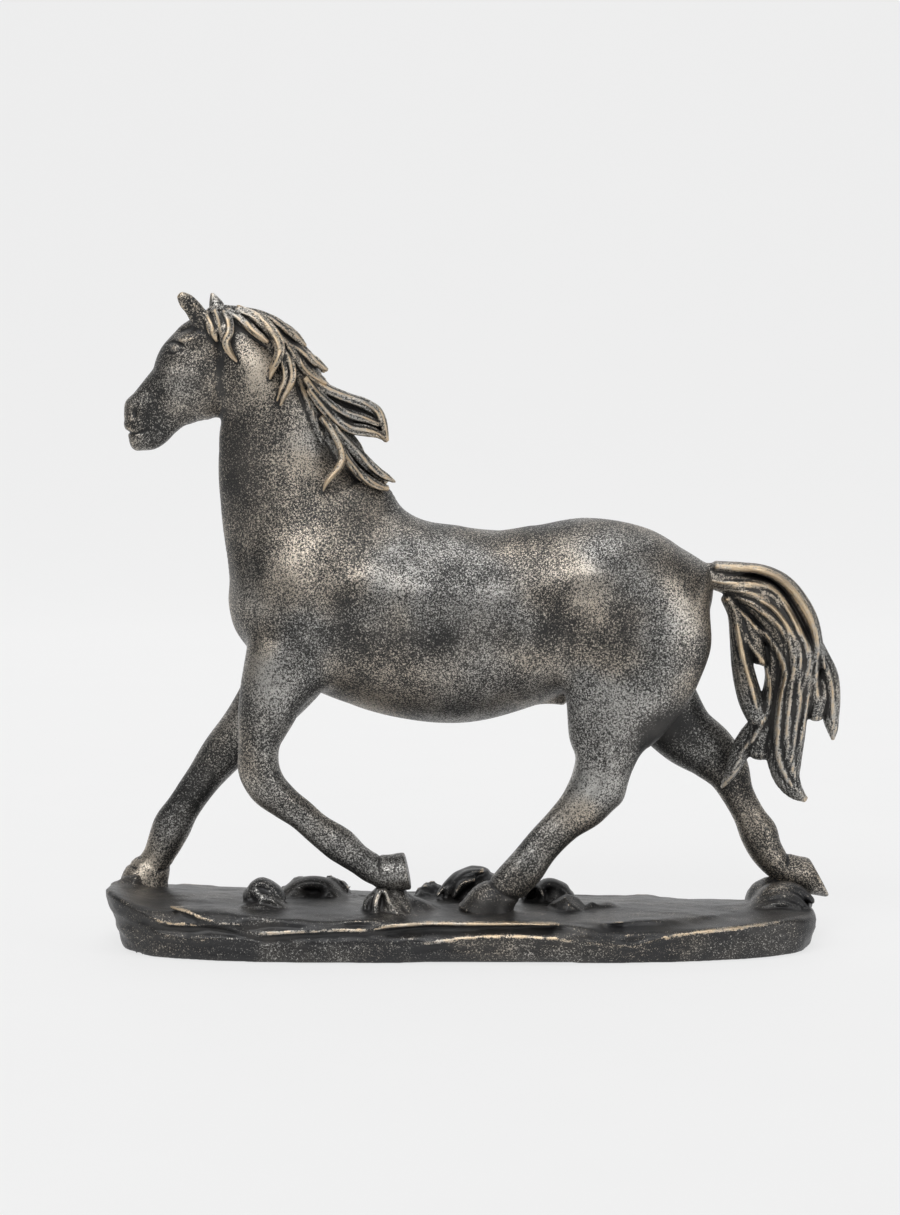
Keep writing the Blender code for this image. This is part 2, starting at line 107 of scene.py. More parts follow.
LEGS = {
    "near_fore_leg": [
        (-52, -8, 150, 12, 8), (-57, -13, 134, 17, 11.5), (-67, -16, 118, 18.8, 12.5),
        (-74.6, -17, 104, 13.6, 11.5), (-78.3, -18, 92.5, 10.6, 10), (-80.4, -18.5, 81, 8.1, 8.5),
        (-80.4, -18.5, 73, 8.2, 8.6), (-77.3, -18.5, 66.3, 7.8, 8.4), (-70.7, -18.5, 60.3, 6.9, 7.2),
        (-63.7, -18.5, 55, 6.2, 6.2), (-56, -18.5, 48.3, 6.3, 5.8), (-48, -18.5, 42.4, 6.8, 6.8),
        (-41, -18.5, 37, 5.6, 6.2), (-36, -18.5, 33.6, 6, 6.6), (-31, -18.5, 32, 6.6, 7.4),
    ],
    "off_fore_leg": [
        (-52, 8, 150, 12, 8), (-58, 13, 130, 16, 11.5), (-67, 16, 112.5, 16, 12.5),
        (-77, 17, 98, 13.5, 11.5), (-88, 18, 85, 10.2, 9.5), (-98, 18.5, 73.5, 8.8, 8.5),
        (-106, 18.5, 63, 7.2, 7), (-113.7, 18.5, 52, 6.9, 6.4), (-118.7, 18.5, 44, 7.6, 7),
        (-121.2, 18.5, 38, 7.2, 6.8), (-124.5, 18.5, 31, 6.4, 6.6), (-127, 18.5, 26, 7.4, 7.4),
    ],
    "near_hind_leg": [
        (68, -7, 158, 12, 8), (67.5, -12, 142, 27, 13), (66.5, -15, 124, 32, 14.5), (65, -16, 110, 28, 14),
        (61.5, -17, 97, 22.1, 12.5), (57.7, -18, 85, 16.1, 10.5), (56.3, -18.5, 76, 11.8, 9.5),
        (53.8, -18.5, 67.5, 11, 8.8), (48.9, -18.5, 59.4, 9.8, 8), (40.4, -18.5, 51.4, 7.6, 6.8),
        (32.5, -18.5, 43.2, 7.2, 6.4), (26.2, -18.5, 35.2, 7.4, 7), (20.5, -18.5, 28.5, 7.6, 7.4),
        (15.5, -18.5, 23.5, 7, 7.2),
    ],
    "off_hind_leg": [
        (66, 7, 156, 12, 8), (67, 12, 140, 26, 13), (69, 15, 122, 25, 14), (74.5, 16, 105.5, 18, 13),
        (82.7, 17, 92.3, 15.1, 11.5), (91.2, 18, 82, 12.8, 10), (101.2, 18.5, 74.6, 11.2, 8.8),
        (108.5, 18.5, 66.5, 9, 7.6), (112.7, 18.5, 57.5, 6.7, 6.4), (117.2, 18.5, 49, 6.4, 6.2),
        (121, 18.5, 41.5, 7.4, 7.2), (124.5, 18.5, 34, 6.8, 7), (129, 18.5, 28.5, 6.2, 6.6),
        (133, 18.5, 26, 6.4, 7),
    ],
}
# Hooves: stations, how rounded the ends are, and the sole's plane as (x, z) and facing (x, z), if it shows.
HOOVES = {
    "near_fore_leg": ([(-32.6, -18.5, 30.8, 6.6, 7.8), (-27.5, -18.5, 31.6, 7.2, 8.6),
                       (-19, -18.5, 32.6, 7.6, 9.4)], 0.5, ((-21.5, 32.4), (0.98, 0.2))),
    "off_fore_leg": ([(-127, 18.5, 27, 7.8, 7.6), (-129.2, 18.5, 22.5, 9.6, 9), (-130.8, 18.5, 16, 10.4, 9.8)],
                     0.3, None),
    "near_hind_leg": ([(16, -18.5, 24, 7, 7.4), (12.2, -18.5, 19.4, 10, 9), (10.2, -18.5, 14.4, 12.4, 10)],
                      0.3, None),
    "off_hind_leg": ([(132.6, 18.5, 25.6, 6.8, 7.2), (139, 18.5, 24, 7.2, 8.6), (150, 18.5, 22, 7.2, 9.4)],
                     0.5, ((146.2, 23.6), (0.88, 0.47))),
}
# The saw cuts between sections: point (x, z), direction to the cut-off section, half width, Y side.
CUTS = {
    "near_fore_leg": ((-71, 106), (-0.45, -0.89), 90, -1),
    "off_fore_leg": ((-75, 99), (-0.587, -0.81), 45, 1),
    "near_hind_leg": ((62, 104), (0.3, -0.95), 93, -1),
    "off_hind_leg": ((78, 104), (0.45, -0.89), 62, 1),
}
NECK_CUT = ((-60, 165), (-0.425, 0.905))
HEAD_CUT = ((-94, 232), (-0.987, 0.158))

# Muscles, hollows and joints: centre, radii, height (negative for a hollow); both sides of the horse.
BODY_SWELLS = [
    ((-62, 25, 160), (15, 14, 22), 1.6), ((-79, 16, 150), (9, 12, 18), 0.9), ((-60, 27, 128), (13, 12, 13), 1.6),
    ((-76, 22, 132), (8, 12, 12), 0.8), ((-48, 28, 146), (8, 14, 13), -1.5), ((-71, 24, 143), (6, 12, 9), -0.9),
    ((-28, 30, 151), (22, 16, 11), 1.1), ((2, 30, 148), (22, 16, 10), 0.7), ((-8, 31, 128), (30, 14, 10), -0.5),
    ((34, 28, 132), (10, 14, 15), -1.8), ((50, 25, 153), (9, 14, 9), 1.7), ((58, 25, 143), (8, 12, 9), 0.8),
    ((66, 26, 131), (12, 12, 10), -1.2), ((85, 18, 138), (9, 14, 17), 1.3), ((46, 26, 112), (10, 12, 14), 0.9),
    ((64, 26, 108), (14, 10, 14), 0.6), ((70, 14, 160), (20, 12, 8), 0.7), ((-40, 12, 172), (14, 14, 8), -1),
    ((-24, 0, 176), (14, 14, 8), -2), ((-8, 0, 168), (14, 16, 8), -0.7), ((10, 0, 165), (18, 16, 9), 0.9),
    ((44, 0, 170), (18, 16, 9), 0.8), ((84, 0, 160), (14, 16, 8), -0.3), ((-88, 0, 124), (6, 2.2, 14), -0.7),
    ((-20, 30, 143), (44, 16, 9), 0.8), ((-14, 31, 116), (34, 14, 7), 0.5), ((43, 27, 120), (3, 10, 13), -0.9),
    ((38, 28, 118), (2.6, 10, 12), 0.5),
]
NECK_SWELLS = [
    ((-82, 12, 231), (10, 9, 13), 0.9), ((-76, 14, 205), (9, 9, 26), 0.8), ((-92, 11, 196), (5, 8, 26), -0.9),
    ((-62, 13, 212), (7, 9, 22), -0.7), ((-66, 16, 186), (10, 9, 14), 0.7),
]
LEG_SWELLS = [
    ((-79.5, -18.5, 76), (5, 12, 6), 0.5), ((-73, -26, 64), (5, 6, 5), 0.5), ((-66, -18.5, 91), (4, 9, 8), 0.5),
    ((-44, -18.5, 36), (4, 9, 4), 0.7), ((-49, -18.5, 43), (5, 10, 5), 0.5), ((-76, -26, 84), (5, 5, 8), 0.4),
    ((-110, 18.5, 59), (5, 10, 6), 0.6), ((-114, 18.5, 43), (4, 9, 5), 0.8), ((-101, 12, 71), (6, 5, 7), 0.6),
    ((63.5, -18.5, 60.5), (4, 9, 4.5), 1.1), ((53, -26, 66), (6, 5, 6), 0.5), ((43, -18.5, 60), (4, 10, 6), 0.4),
    ((59, -26, 90), (5, 6, 12), 0.7), ((50, -26, 88), (3, 6, 12), -0.6), ((29, -18.5, 31), (4, 8, 4), 0.9),
    ((112, 18.5, 72), (4, 9, 5), 1), ((104, 11, 75), (6, 5, 6), 0.5), ((126, 18.5, 42), (4, 8, 5), 1),
]
# The head: swells on both sides.
HEAD_SWELLS = [
    ((-103.6, 11, 224.5), (7, 6, 9), 0.9), ((-114, 9, 228.6), (9, 5, 2.6), 0.6), ((-121, 8, 221.4), (6, 4, 4), -0.8),
    ((-119, 8, 225.8), (7, 4, 1.7), 0.5), ((-107.5, 10.5, 243.2), (5.4, 4, 2.2), 1.3),
    ((-102.6, 9.5, 247), (4, 5, 2.6), -0.9), ((-113.2, 9.6, 239.2), (3.8, 3, 3), -1.9),
    ((-113.4, 9.4, 239.2), (2.1, 3.4, 1.7), 2.4), ((-111.4, 11, 241.9), (4.4, 3, 1.1), 0.9),
    ((-112, 10.4, 236.8), (3.6, 3, 1), 0.35), ((-130, 5.6, 214.4), (3.4, 3, 4), 0.5),
    ((-129.6, 7, 213.6), (1.4, 3.6, 2.2), -2.4), ((-130, 6.5, 206.6), (3.5, 3, 2.6), 0.3),
    ((-125, 7, 211), (2.4, 3, 3), -0.6), ((-95.4, 12, 226), (2.6, 5, 15), -2), ((-101, 0, 252), (5, 5, 4), 1),
    ((-119, 8, 213), (5, 4, 5), -0.6), ((-110.5, 0, 247.5), (4, 5, 2.6), 0.5),
    ((-106.6, 0, 250.4), (5, 8, 2.4), 0.6), ((-133, 0, 217.8), (3.2, 6, 3), 1),
    ((-136, 0, 209.6), (3, 7, 2.4), -0.5),
]
# Lines cut into the head: path (x, z), width, depth.
HEAD_LINES = [
    ([(-134.5, 206.2), (-130, 205.4), (-126.4, 206), (-123.2, 207.8)], 0.65, 0.95),
    ([(-116.6, 204.6), (-119.4, 206.8), (-121.6, 209.2)], 0.8, 0.5),
    ([(-117.2, 240.6), (-114, 241.4), (-110.8, 241), (-108.8, 239.2)], 0.5, 0.6),
    ([(-116.4, 237.6), (-113.8, 237), (-111, 237.6), (-109.4, 238.8)], 0.45, 0.35),
    ([(-101.6, 251), (-104, 247.8), (-108, 246.8), (-112, 245)], 0.8, 0.7),
]
EARS = [
    [(-100.6, -6, 244.6, 4, 4), (-103.4, -7.5, 250.6, 3.8, 3.6), (-106.6, -8.6, 255.4, 3.4, 3.1),
                 (-109.2, -9, 258.2, 2.9, 2.3), (-110.6, -9.2, 259.6, 1.9, 1.5)],
    [(-96, 6, 248, 4, 4), (-97.2, 7.6, 253.4, 3.5, 3.4), (-98.7, 8.6, 257.6, 2.4, 2.5),
                (-99.7, 9, 260.3, 0.9, 1.2)],
]

# Brush work of the coat on the body, which also paints light and shade: centre (x, z), radii, how much thicker.
# Thicker patches are painted highlights where the lamps shine on the neck behind the jaw, the shoulder, the barrel,
# the hip and the rump. Thinner ones are painted shade on the throat, behind the shoulder, under the barrel, in the
# flank and hip hollows and a painted shadow over the off hind thigh. The near hind hoof is made darker too.
COAT_AND_PAINTED_LIGHT = [
    ((-81, 229), (7, 13), 0.085), ((-88, 192), (9, 22), -0.06), ((-62, 196), (8, 14), 0.03),
    ((-64, 160), (14, 14), 0.02), ((-32, 148), (18, 7), 0.03), ((6, 142), (24, 7), 0.02),
    ((-6, 127), (50, 6), -0.035), ((-48, 139), (4, 12), -0.04), ((37, 130), (5, 16), -0.025),
    ((50, 150), (7, 14), 0.03), ((63, 133), (6, 12), -0.035), ((84, 137), (7, 14), 0.03),
    ((60, 104), (18, 18), 0.04), ((-76, 112), (10, 14), 0.03), ((48, 66), (10, 14), 0.06),
    ((-120, 214), (10, 9), -0.02), ((12, 17), (12, 7), -0.14), ((80, 88), (10, 8), -0.18),
    ((-108, 60), (14, 16), -0.04), ((-56, 48), (16, 10), 0.03), ((-128, 30), (8, 8), 0.05),
    ((112, 62), (8, 12), -0.03), ((-100, 226), (12, 12), -0.02),
]
# The ground's coat, as for the horse: thicker along the lower side, and painted highlights on the rock at the left
# end, on the mound under the near fore hoof and on the mound under the off hind hoof.
GROUND_COAT_AND_HIGHLIGHTS = [
    ((0, 6), (220, 5), 0.035), ((-79, 24), (7, 6), 0.08), ((-29, 22), (8, 8), 0.06), ((128, 24), (16, 6), 0.06),
]

# ---------------------------------------------------------------- tables of the hair

CREST = [
    (-95.2, 0, 250.4, 3.6, 6.5), (-86.1, 0, 248.8, 4.8, 8.5), (-77, 0, 244.4, 5.6, 9.5), (-70.3, 0, 237.7, 6, 9.5),
    (-64.3, 0, 230.6, 6.4, 9), (-59.6, 0, 221.9, 6, 8.5), (-55.7, 0, 214, 5.6, 8), (-51.7, 0, 205.2, 4.8, 7.5),
    (-46.6, 0, 196.1, 4, 7), (-41.4, 0, 188.1, 3.2, 6), (-35.9, 0, 182.9, 2, 4.5),
]
# Strands raised on the crest: path (x, z), half width, height.
CREST_STRANDS = [
    ([(-97.1, 254.4), (-87.7, 254), (-79, 251.6), (-71.9, 247.7), (-64.8, 243), (-62.5, 239.9)], 1.7, 1),
    ([(-93, 252.8), (-83.5, 250.5), (-75.7, 246.6), (-69.4, 241.8), (-63.1, 236.7), (-56.1, 232.8),
     (-53.3, 230.5)], 1.7, 1.2),
    ([(-90.5, 250.9), (-85.1, 247.7), (-80.4, 243.8), (-75.7, 239.9)], 1.5, 1),
    ([(-70.1, 243.8), (-67.4, 238.3), (-61.5, 233.2), (-56, 228.9)], 1.5, 1.1),
    ([(-69.4, 238.3), (-64.7, 232), (-60, 225), (-56.9, 217.1)], 1.6, 1.2),
    ([(-78.8, 249.3), (-73.3, 245.4), (-69.4, 239.9), (-67, 234.4)], 1.4, 1),
    ([(-64, 224.6), (-59.3, 216.7), (-55.4, 207.6), (-51, 200.5), (-46.3, 191.8)], 1.7, 1.2),
    ([(-67, 233.6), (-63.9, 226.5), (-61.6, 218.7), (-57.7, 209.2), (-53.8, 200.5)], 1.5, 1),
    ([(-100, 254.4), (-96.9, 250.9), (-95.4, 245.4)], 1.4, 0.9),
    ([(-52, 207), (-47.5, 199), (-43, 191.5), (-38.5, 185.5)], 1.5, 1.1),
]
TOP_LOCKS = [
    [(-95.8, -1, 253.7, 1.6, 4), (-87.9, -2, 253.3, 2.2, 5), (-79.1, -2.5, 251.1, 2.6, 5.5),
     (-72, -3, 247.6, 2.6, 5.5), (-66.1, -3.5, 243.5, 2.2, 4.6), (-62.1, -3.5, 239.9, 1, 2.6)],
    [(-71.1, -5, 241.9, 2, 4.6), (-64, -6, 237.6, 2.2, 4.6), (-58.1, -6.5, 233.7, 2.2, 4),
     (-53.4, -6.5, 230.5, 1, 2)],
    [(-82, 2.5, 249.9, 2, 4.6), (-74, 4, 246.4, 2.4, 5), (-66, 5, 240.4, 2.4, 4.8), (-59, 5, 235.1, 1, 2.4)],
    [(-68.2, -9, 239.2, 1.8, 3.6), (-63, -10, 232.1, 2, 3.6), (-58.3, -10, 227.8, 1.9, 3.2), (-53.7, -9, 225, 1, 2)],
    [(-101, -1, 247.9, 2, 3.6), (-99.4, -1, 253.1, 2.2, 4.6), (-93, -1, 254.5, 1.8, 4.4), (-88, -1, 253.9, 1, 3)],
]
SIDE_LOCKS = [
    [(-101.2, -8, 252.8, 1.6, 2.6), (-99.5, -10, 249.3, 2, 2.8), (-97.9, -11.5, 245.4, 2, 2.8),
     (-96.3, -12, 241.9, 0.8, 1.6)],
    [(-97.6, -7, 253.6, 1.5, 2.8), (-96, -9.4, 250, 1.8, 2.8), (-94.8, -11, 246, 1.4, 2.4),
     (-94.4, -12, 242, 0.7, 1.4)],
    [(-93.8, -7, 253.2, 1.8, 3), (-92.1, -9.5, 249.7, 2.3, 3), (-91.6, -11.5, 245.8, 2.2, 2.8),
     (-92.7, -13, 241.1, 1.9, 2.4), (-91.3, -13.5, 237.6, 1.5, 2), (-88.4, -13.8, 233.7, 0.6, 1.2)],
    [(-92.3, -6.5, 253.6, 1.6, 3), (-85.8, -9.5, 249.3, 1.9, 3), (-80.9, -12, 245, 1.8, 2.6),
     (-76.2, -13.6, 241.5, 1, 1.8)],
    [(-88.4, -6, 254.4, 2, 3.4), (-81.1, -8.5, 250.9, 2.6, 3.4), (-75.9, -10.5, 246.6, 2.7, 3.4),
     (-72.3, -12.5, 241.9, 2.5, 3), (-71.5, -14, 238, 2.2, 2.6), (-72.6, -14.8, 234.5, 1.8, 2.2),
     (-74.2, -15, 231, 1.6, 1.8), (-75.4, -15, 227.1, 0.6, 1.2)],
    [(-71.2, -11, 239.1, 1.6, 3), (-67.6, -13, 233.3, 2.1, 3), (-66.4, -14.5, 228.6, 1.9, 2.6),
     (-68.1, -15.5, 223.5, 1.6, 2.2), (-70.3, -16, 219.3, 1, 1.6), (-71.3, -16, 216.5, 0.5, 1)],
    [(-72.4, -12, 237.6, 1.2, 2.4), (-69.9, -14, 232.1, 1.4, 2.2), (-69.3, -15, 227.8, 1.4, 2),
     (-71.1, -15.6, 222.8, 1, 1.6), (-72.6, -15.8, 218.5, 0.5, 1)],
    [(-55.2, -11.5, 211.7, 1.4, 3.2), (-51.2, -13, 206.6, 1.6, 3), (-48.4, -14.5, 201.6, 1.7, 2.8),
     (-47.2, -15.8, 196.9, 1.7, 2.6), (-48.4, -17, 192.6, 1.7, 2.4), (-51.1, -18, 189.2, 1.4, 2.2),
     (-53.6, -18.6, 185.7, 0.9, 1.8), (-54.6, -18.6, 183.3, 0.4, 1)],
]
UPPER_FILL = [
    (-62, 0, 228.5, 5, 7), (-58, 0, 223, 5.4, 8), (-52, 0, 217, 5.6, 8), (-45, 0, 213.6, 5.6, 7),
    (-38, 0, 211.4, 5.2, 6), (-33.5, 0, 208.8, 3.6, 4.6), (-31, 0, 205, 1.4, 2.6),
]
LOWER_FILL = [
    (-50, 0, 205.4, 4.4, 6), (-45, 0, 199.4, 5, 6.4), (-40.5, 0, 192.4, 4, 6), (-35, 0, 188.2, 3, 5),
    (-30.5, 0, 186, 1.6, 3.2),
]
UPPER_FLIGHT = [
    [(-64, -6, 232.6, 2, 5), (-58.5, -6.5, 226, 2.4, 5), (-52.2, -6, 222, 2.4, 5), (-45.1, -5.5, 219, 2.5, 4.6),
     (-38.2, -5, 216.8, 2.5, 4.2), (-33.6, -4.5, 214, 2.2, 3.8), (-31.2, -4, 208.6, 1.9, 3.2),
     (-29.6, -4, 202.4, 0.8, 1.6)],
    [(-61.5, -9.5, 227.3, 1.8, 4), (-56.8, -10, 221.1, 2.1, 4), (-51.7, -9.5, 216.3, 2.2, 4),
     (-45.5, -8, 213.1, 2.2, 3.8), (-39.2, -6.5, 211.5, 2.1, 3.4), (-33.3, -5.5, 209.1, 1.4, 2.6)],
    [(-59.9, -11, 222.7, 1.8, 3.6), (-55.2, -11, 216.4, 2.2, 4), (-50.2, -9.5, 211.2, 2.4, 4),
     (-43.9, -7.5, 207.6, 2.6, 3.8), (-37.6, -6, 206.4, 2.6, 3.4), (-32.5, -5, 204.7, 1.6, 2.4),
     (-30.2, -4.5, 202.7, 0.6, 1.2)],
]
LOWER_FLIGHT = [
    [(-53.4, -7, 211.5, 2, 5), (-48.3, -7.5, 205.2, 2.2, 5), (-43.6, -7.5, 199.7, 2.6, 4.8),
     (-38.8, -7, 194.5, 2.7, 4.4), (-33.7, -6.5, 190.3, 2.2, 3.6), (-29.4, -6, 187.7, 1.5, 2.8),
     (-26.6, -6, 186.2, 0.6, 1.6)],
    [(-48.2, -10.5, 200.6, 1.8, 4), (-44.2, -11, 193.9, 2, 3.8), (-39.5, -10.5, 188.8, 2.1, 3.4),
     (-34, -9.5, 185.2, 2, 3), (-29.3, -8.5, 183.5, 1.2, 2.4)],
]
TAIL_LOCKS = [
    [(92.7, 0, 149, 4.8, 6), (99.9, 0, 148.2, 5.2, 7), (109.1, 0, 146, 6.8, 8.5), (117.9, 0, 141.8, 9.8, 10),
     (126.4, 0, 134.2, 11, 10.5), (132.1, 0, 124.5, 9.8, 10), (133.8, 0, 114.5, 8.6, 9.5),
     (132.4, 0, 102.4, 7.2, 9), (131.2, 0, 92.3, 7.2, 8.5), (129.9, 0, 82.9, 7.7, 7.5), (129.6, 0, 74, 7, 6.5),
     (131, 0, 66.2, 5.2, 5.4), (134.8, 0, 60.6, 3.2, 3.8), (138, 0, 58.2, 1.5, 2)],
    [(101.2, -3, 152.4, 2.2, 5), (111.5, -4, 151.2, 2.6, 6), (120.5, -5, 149.5, 3.4, 6), (128.1, -5.5, 145.1, 4, 6),
     (133.7, -5.5, 138.3, 4.2, 6), (137.9, -5, 131.1, 4, 6), (140.5, -4, 123, 3.4, 5.5), (141.9, -3, 114.8, 3, 5),
     (141, -2, 106, 2.6, 4)],
    [(138.9, 3, 125.4, 3.4, 5), (143.4, 3, 116.1, 3.8, 6), (146.8, 3, 107.7, 4.4, 6), (147.8, 3, 98.7, 4.4, 5.5),
     (148.4, 3, 91, 3.4, 4.5), (149.2, 3, 85, 2, 3), (149.3, 3, 82.1, 0.8, 1.4)],
    [(106.2, 0, 139.4, 2.8, 6), (109.2, 0, 133.6, 3.2, 6.5), (110.5, 0, 124.1, 3.4, 7), (111.9, 0, 114.5, 4.2, 7),
     (113.8, 0, 105.6, 4.8, 7), (116.2, 0, 97.5, 5, 6.5), (118.8, 0, 91, 4.4, 6)],
    [(111.5, 0, 135.5, 3.4, 6), (115, 0, 128.5, 4.2, 6), (117.4, 0, 121, 3.8, 6), (119.6, 0, 114.6, 2.8, 4.6)],
    [(140.8, 0, 110, 3.6, 5), (142.3, 0, 100, 4.6, 5), (141.9, 0, 92, 3.3, 4)],
    [(124.4, 2, 122.3, 3.4, 6), (124.8, 2, 112.2, 3, 6), (124.2, 2, 102.1, 3.4, 6), (122.4, 2, 93.2, 4.6, 6.5),
     (120.4, 2, 85.1, 6, 6), (120.2, 2, 77.2, 5.4, 5)],
    [(126, 4, 97.8, 2.8, 5), (121.5, 4.5, 88.8, 4.6, 5), (116.2, 4.5, 82.6, 4.8, 5), (112, 4.5, 76.2, 4, 4.2),
     (109.2, 4.5, 69.7, 2.8, 3.4), (106.6, 4.5, 64.8, 1.6, 2.4), (105, 4.5, 62.3, 0.7, 1.4)],
]
# Strands raised on the tail: path (x, z), half width, height.
TAIL_STRANDS = [
    ([(99.3, 152.7), (110.5, 152.4), (118.4, 151.4), (125.6, 148.4), (132.4, 142.4), (137.2, 134.6), (140.2, 126.4),
     (141, 119.2), (140.4, 112)], 2, 1),
    ([(97.6, 147.3), (103.2, 146.1), (110.3, 145.3), (117.1, 145.7), (122.3, 144.9), (127.1, 140.6), (130.3, 134.6),
     (133.6, 128.2), (136.8, 122.2), (138.5, 116.2), (137.7, 109.4), (135.8, 102.5)], 1.8, 1.3),
    ([(103.1, 143.8), (112.3, 142.6), (118.2, 140.3), (124.2, 135.1), (129.5, 128.3), (133.1, 121.5),
     (134.4, 114.7), (133.3, 107.5)], 1.5, 1.1),
    ([(108.3, 140.3), (115.1, 137.5), (122.3, 132.3), (127.5, 127.1), (130.7, 121.1), (132, 113.5), (130.5, 103.5),
     (129.9, 91.4), (130, 79.4), (131.3, 69.3)], 1.6, 1.2),
    ([(109.5, 136.3), (115.1, 130.7), (120.8, 124.7), (125.6, 118.3), (128.5, 110.7), (127, 99.5), (125.9, 85.4),
     (126.9, 74.5), (130.9, 66.1), (136.2, 60.8)], 1.6, 1.3),
    ([(109.1, 131.2), (110.3, 123.2), (112.4, 114.3), (115.7, 103.9), (118.2, 94.3)], 1.5, 1.2),
    ([(111.5, 128), (114.7, 121.2), (120.4, 113.5), (122.9, 103.1), (122.2, 94.3)], 1.4, 1),
    ([(134, 109.5), (134.6, 99.5), (133.1, 87.4), (132, 75.3), (133.7, 65.3)], 1.4, 1),
    ([(144, 115.5), (146.9, 107.4), (148.2, 98.6), (149.1, 88.5)], 1.4, 0.9),
    ([(139.4, 112.1), (138.4, 99.2), (136.5, 87.9), (135, 78.3)], 1.4, 1),
    ([(122.7, 95.2), (117.6, 84.7), (112.8, 77.8), (109.3, 71.3), (106.5, 66)], 1.4, 1),
    ([(115.1, 139.5), (122.2, 137.1), (127.9, 130.7), (131.1, 123.5)], 1.1, 0.8),
]
TAIL_GROOVES = [
    ([(108.3, 150.1), (116.3, 149.3), (123, 146.9), (129, 141), (133.1, 134.2), (137.2, 126.6),
     (140.4, 119.4)], 1.5, 2.6),
    ([(110, 137.5), (115, 132.6), (121, 126.5)], 1, 1.2),
    ([(142.4, 118), (143, 108), (144, 99)], 1.1, 1.6),
]

# ---------------------------------------------------------------- tables of the ground

BASE_HALF_LENGTH = 142.5
BASE_HALF_DEPTH = 45.0
# Where the ground's underside is, over the felt and outside it, and how far in the felt's edge starts.
GROUND_FOOT = 1.0
RIM_FOOT = 0.3
LIP = 4.0
# Ledges of rock along the side: path (x, z), height, and the groove cut under it.
LEDGES = [
    ([(-132.9, 25.3), (-120.7, 22), (-107.8, 19.6), (-98, 16.3), (-88.3, 15.4), (-73.7, 14.6)], 0.9, 1.2),
    ([(-128.9, 17.9), (-115.9, 14.9), (-99.7, 14.6), (-91.6, 13.6), (-80.2, 11.8), (-68.8, 12.6), (-47.7, 13.8),
     (-33.1, 14.1)], 0.9, 1.1),
    ([(-41.2, 14.1), (-33.1, 14.6), (-15.2, 15.9), (1, 15.8), (17.3, 15.9), (33.5, 15.8), (46.5, 15.4)], 1, 2),
    ([(48.2, 17.4), (51.4, 16.3), (66, 15.9), (82.3, 16.3), (106.6, 17.9), (129.4, 18.9)], 1, 2),
    ([(-31.5, 5.5), (-21.7, 7.2), (-5.5, 9.7), (7.6, 11.3), (23.8, 11.3), (38.4, 10), (56.3, 8), (66.1, 7.2),
     (72.6, 8.8), (85.6, 11.2), (108.3, 13.1), (129.4, 14.1)], 0.9, -0.1),
    ([(-122.5, 10.5), (-106.2, 8.8), (-91.6, 9.7), (-77, 8)], 0.6, 0.5),
    ([(-21.7, 3.9), (1.1, 4.4), (27.1, 3.4), (49.8, 3.9)], 0.5, 0.5),
]
# Lens-shaped pockets in the side: centre (x, z), half sizes, depth.
POCKETS = [
    ((-78, 14.6), (9, 1.3), 2.6), ((-41, 14.9), (8, 0.9), 2.2), ((-24, 12.4), (7, 1.5), 1.8),
    ((62, 14.2), (14, 2), 1.6), ((-112, 19.8), (13, 2), 1.3),
]
# Boulders: centre, half sizes, turn in degrees, seed, roughness, kind of surface.
BOULDERS = [
    ((-79, -16, 18.5), (8.6, 8.6, 9), 0, 3, 1.4, "folds"),
    ((-70, -20, 13.6), (10, 6, 4.8), -20, 4, 1.2, "folds"),
    ((-64, 13, 15), (9, 9, 8.4), 0, 11, 1.6, "lumps"),
    ((-54, 14, 15.4), (9, 9, 8), 0, 12, 1.6, "lumps"),
    ((-47, 11, 12), (8, 8, 5.4), 15, 13, 1.6, "lumps"),
    ((-71, 8, 14), (6, 6, 5.4), 0, 14, 1.5, "lumps"),
    ((-29, -18.5, 15), (10.6, 13, 12), 0, 5, 0.6, "rays"),
    ((-18, -19, 12.5), (9, 9, 7), 20, 6, 0.6, "rays"),
    ((-12, 16, 14.6), (7, 7, 6.4), 0, 8, 1.4, "lumps"),
    ((-16, 12, 13.4), (4, 5, 4.6), 0, 9, 1.4, "lumps"),
    ((5, 14, 15.6), (13.6, 12, 13), -12, 14, 1, "arcs"),
    ((31, 6, 16), (5.6, 7, 6.8), 0, 21, 1.6, "lumps"),
    ((39, 5, 15.5), (7.4, 8, 7.4), 0, 22, 1.4, "arcs"),
    ((42, -12, 15), (8.4, 8, 7), 0, 26, 1.4, "facets"),
    ((52, -9, 13), (6, 6, 5.4), 0, 27, 1.4, "facets"),
    ((60, -4, 12.6), (11, 7, 4), -12, 31, 1.4, "facets"),
    ((130, 17, 13.5), (13.6, 14.6, 10.2), -8, 36, 0.6, "arcs"),
    ((-134, 16, 20), (8, 12, 6.5), 10, 41, 1, "facets"),
]

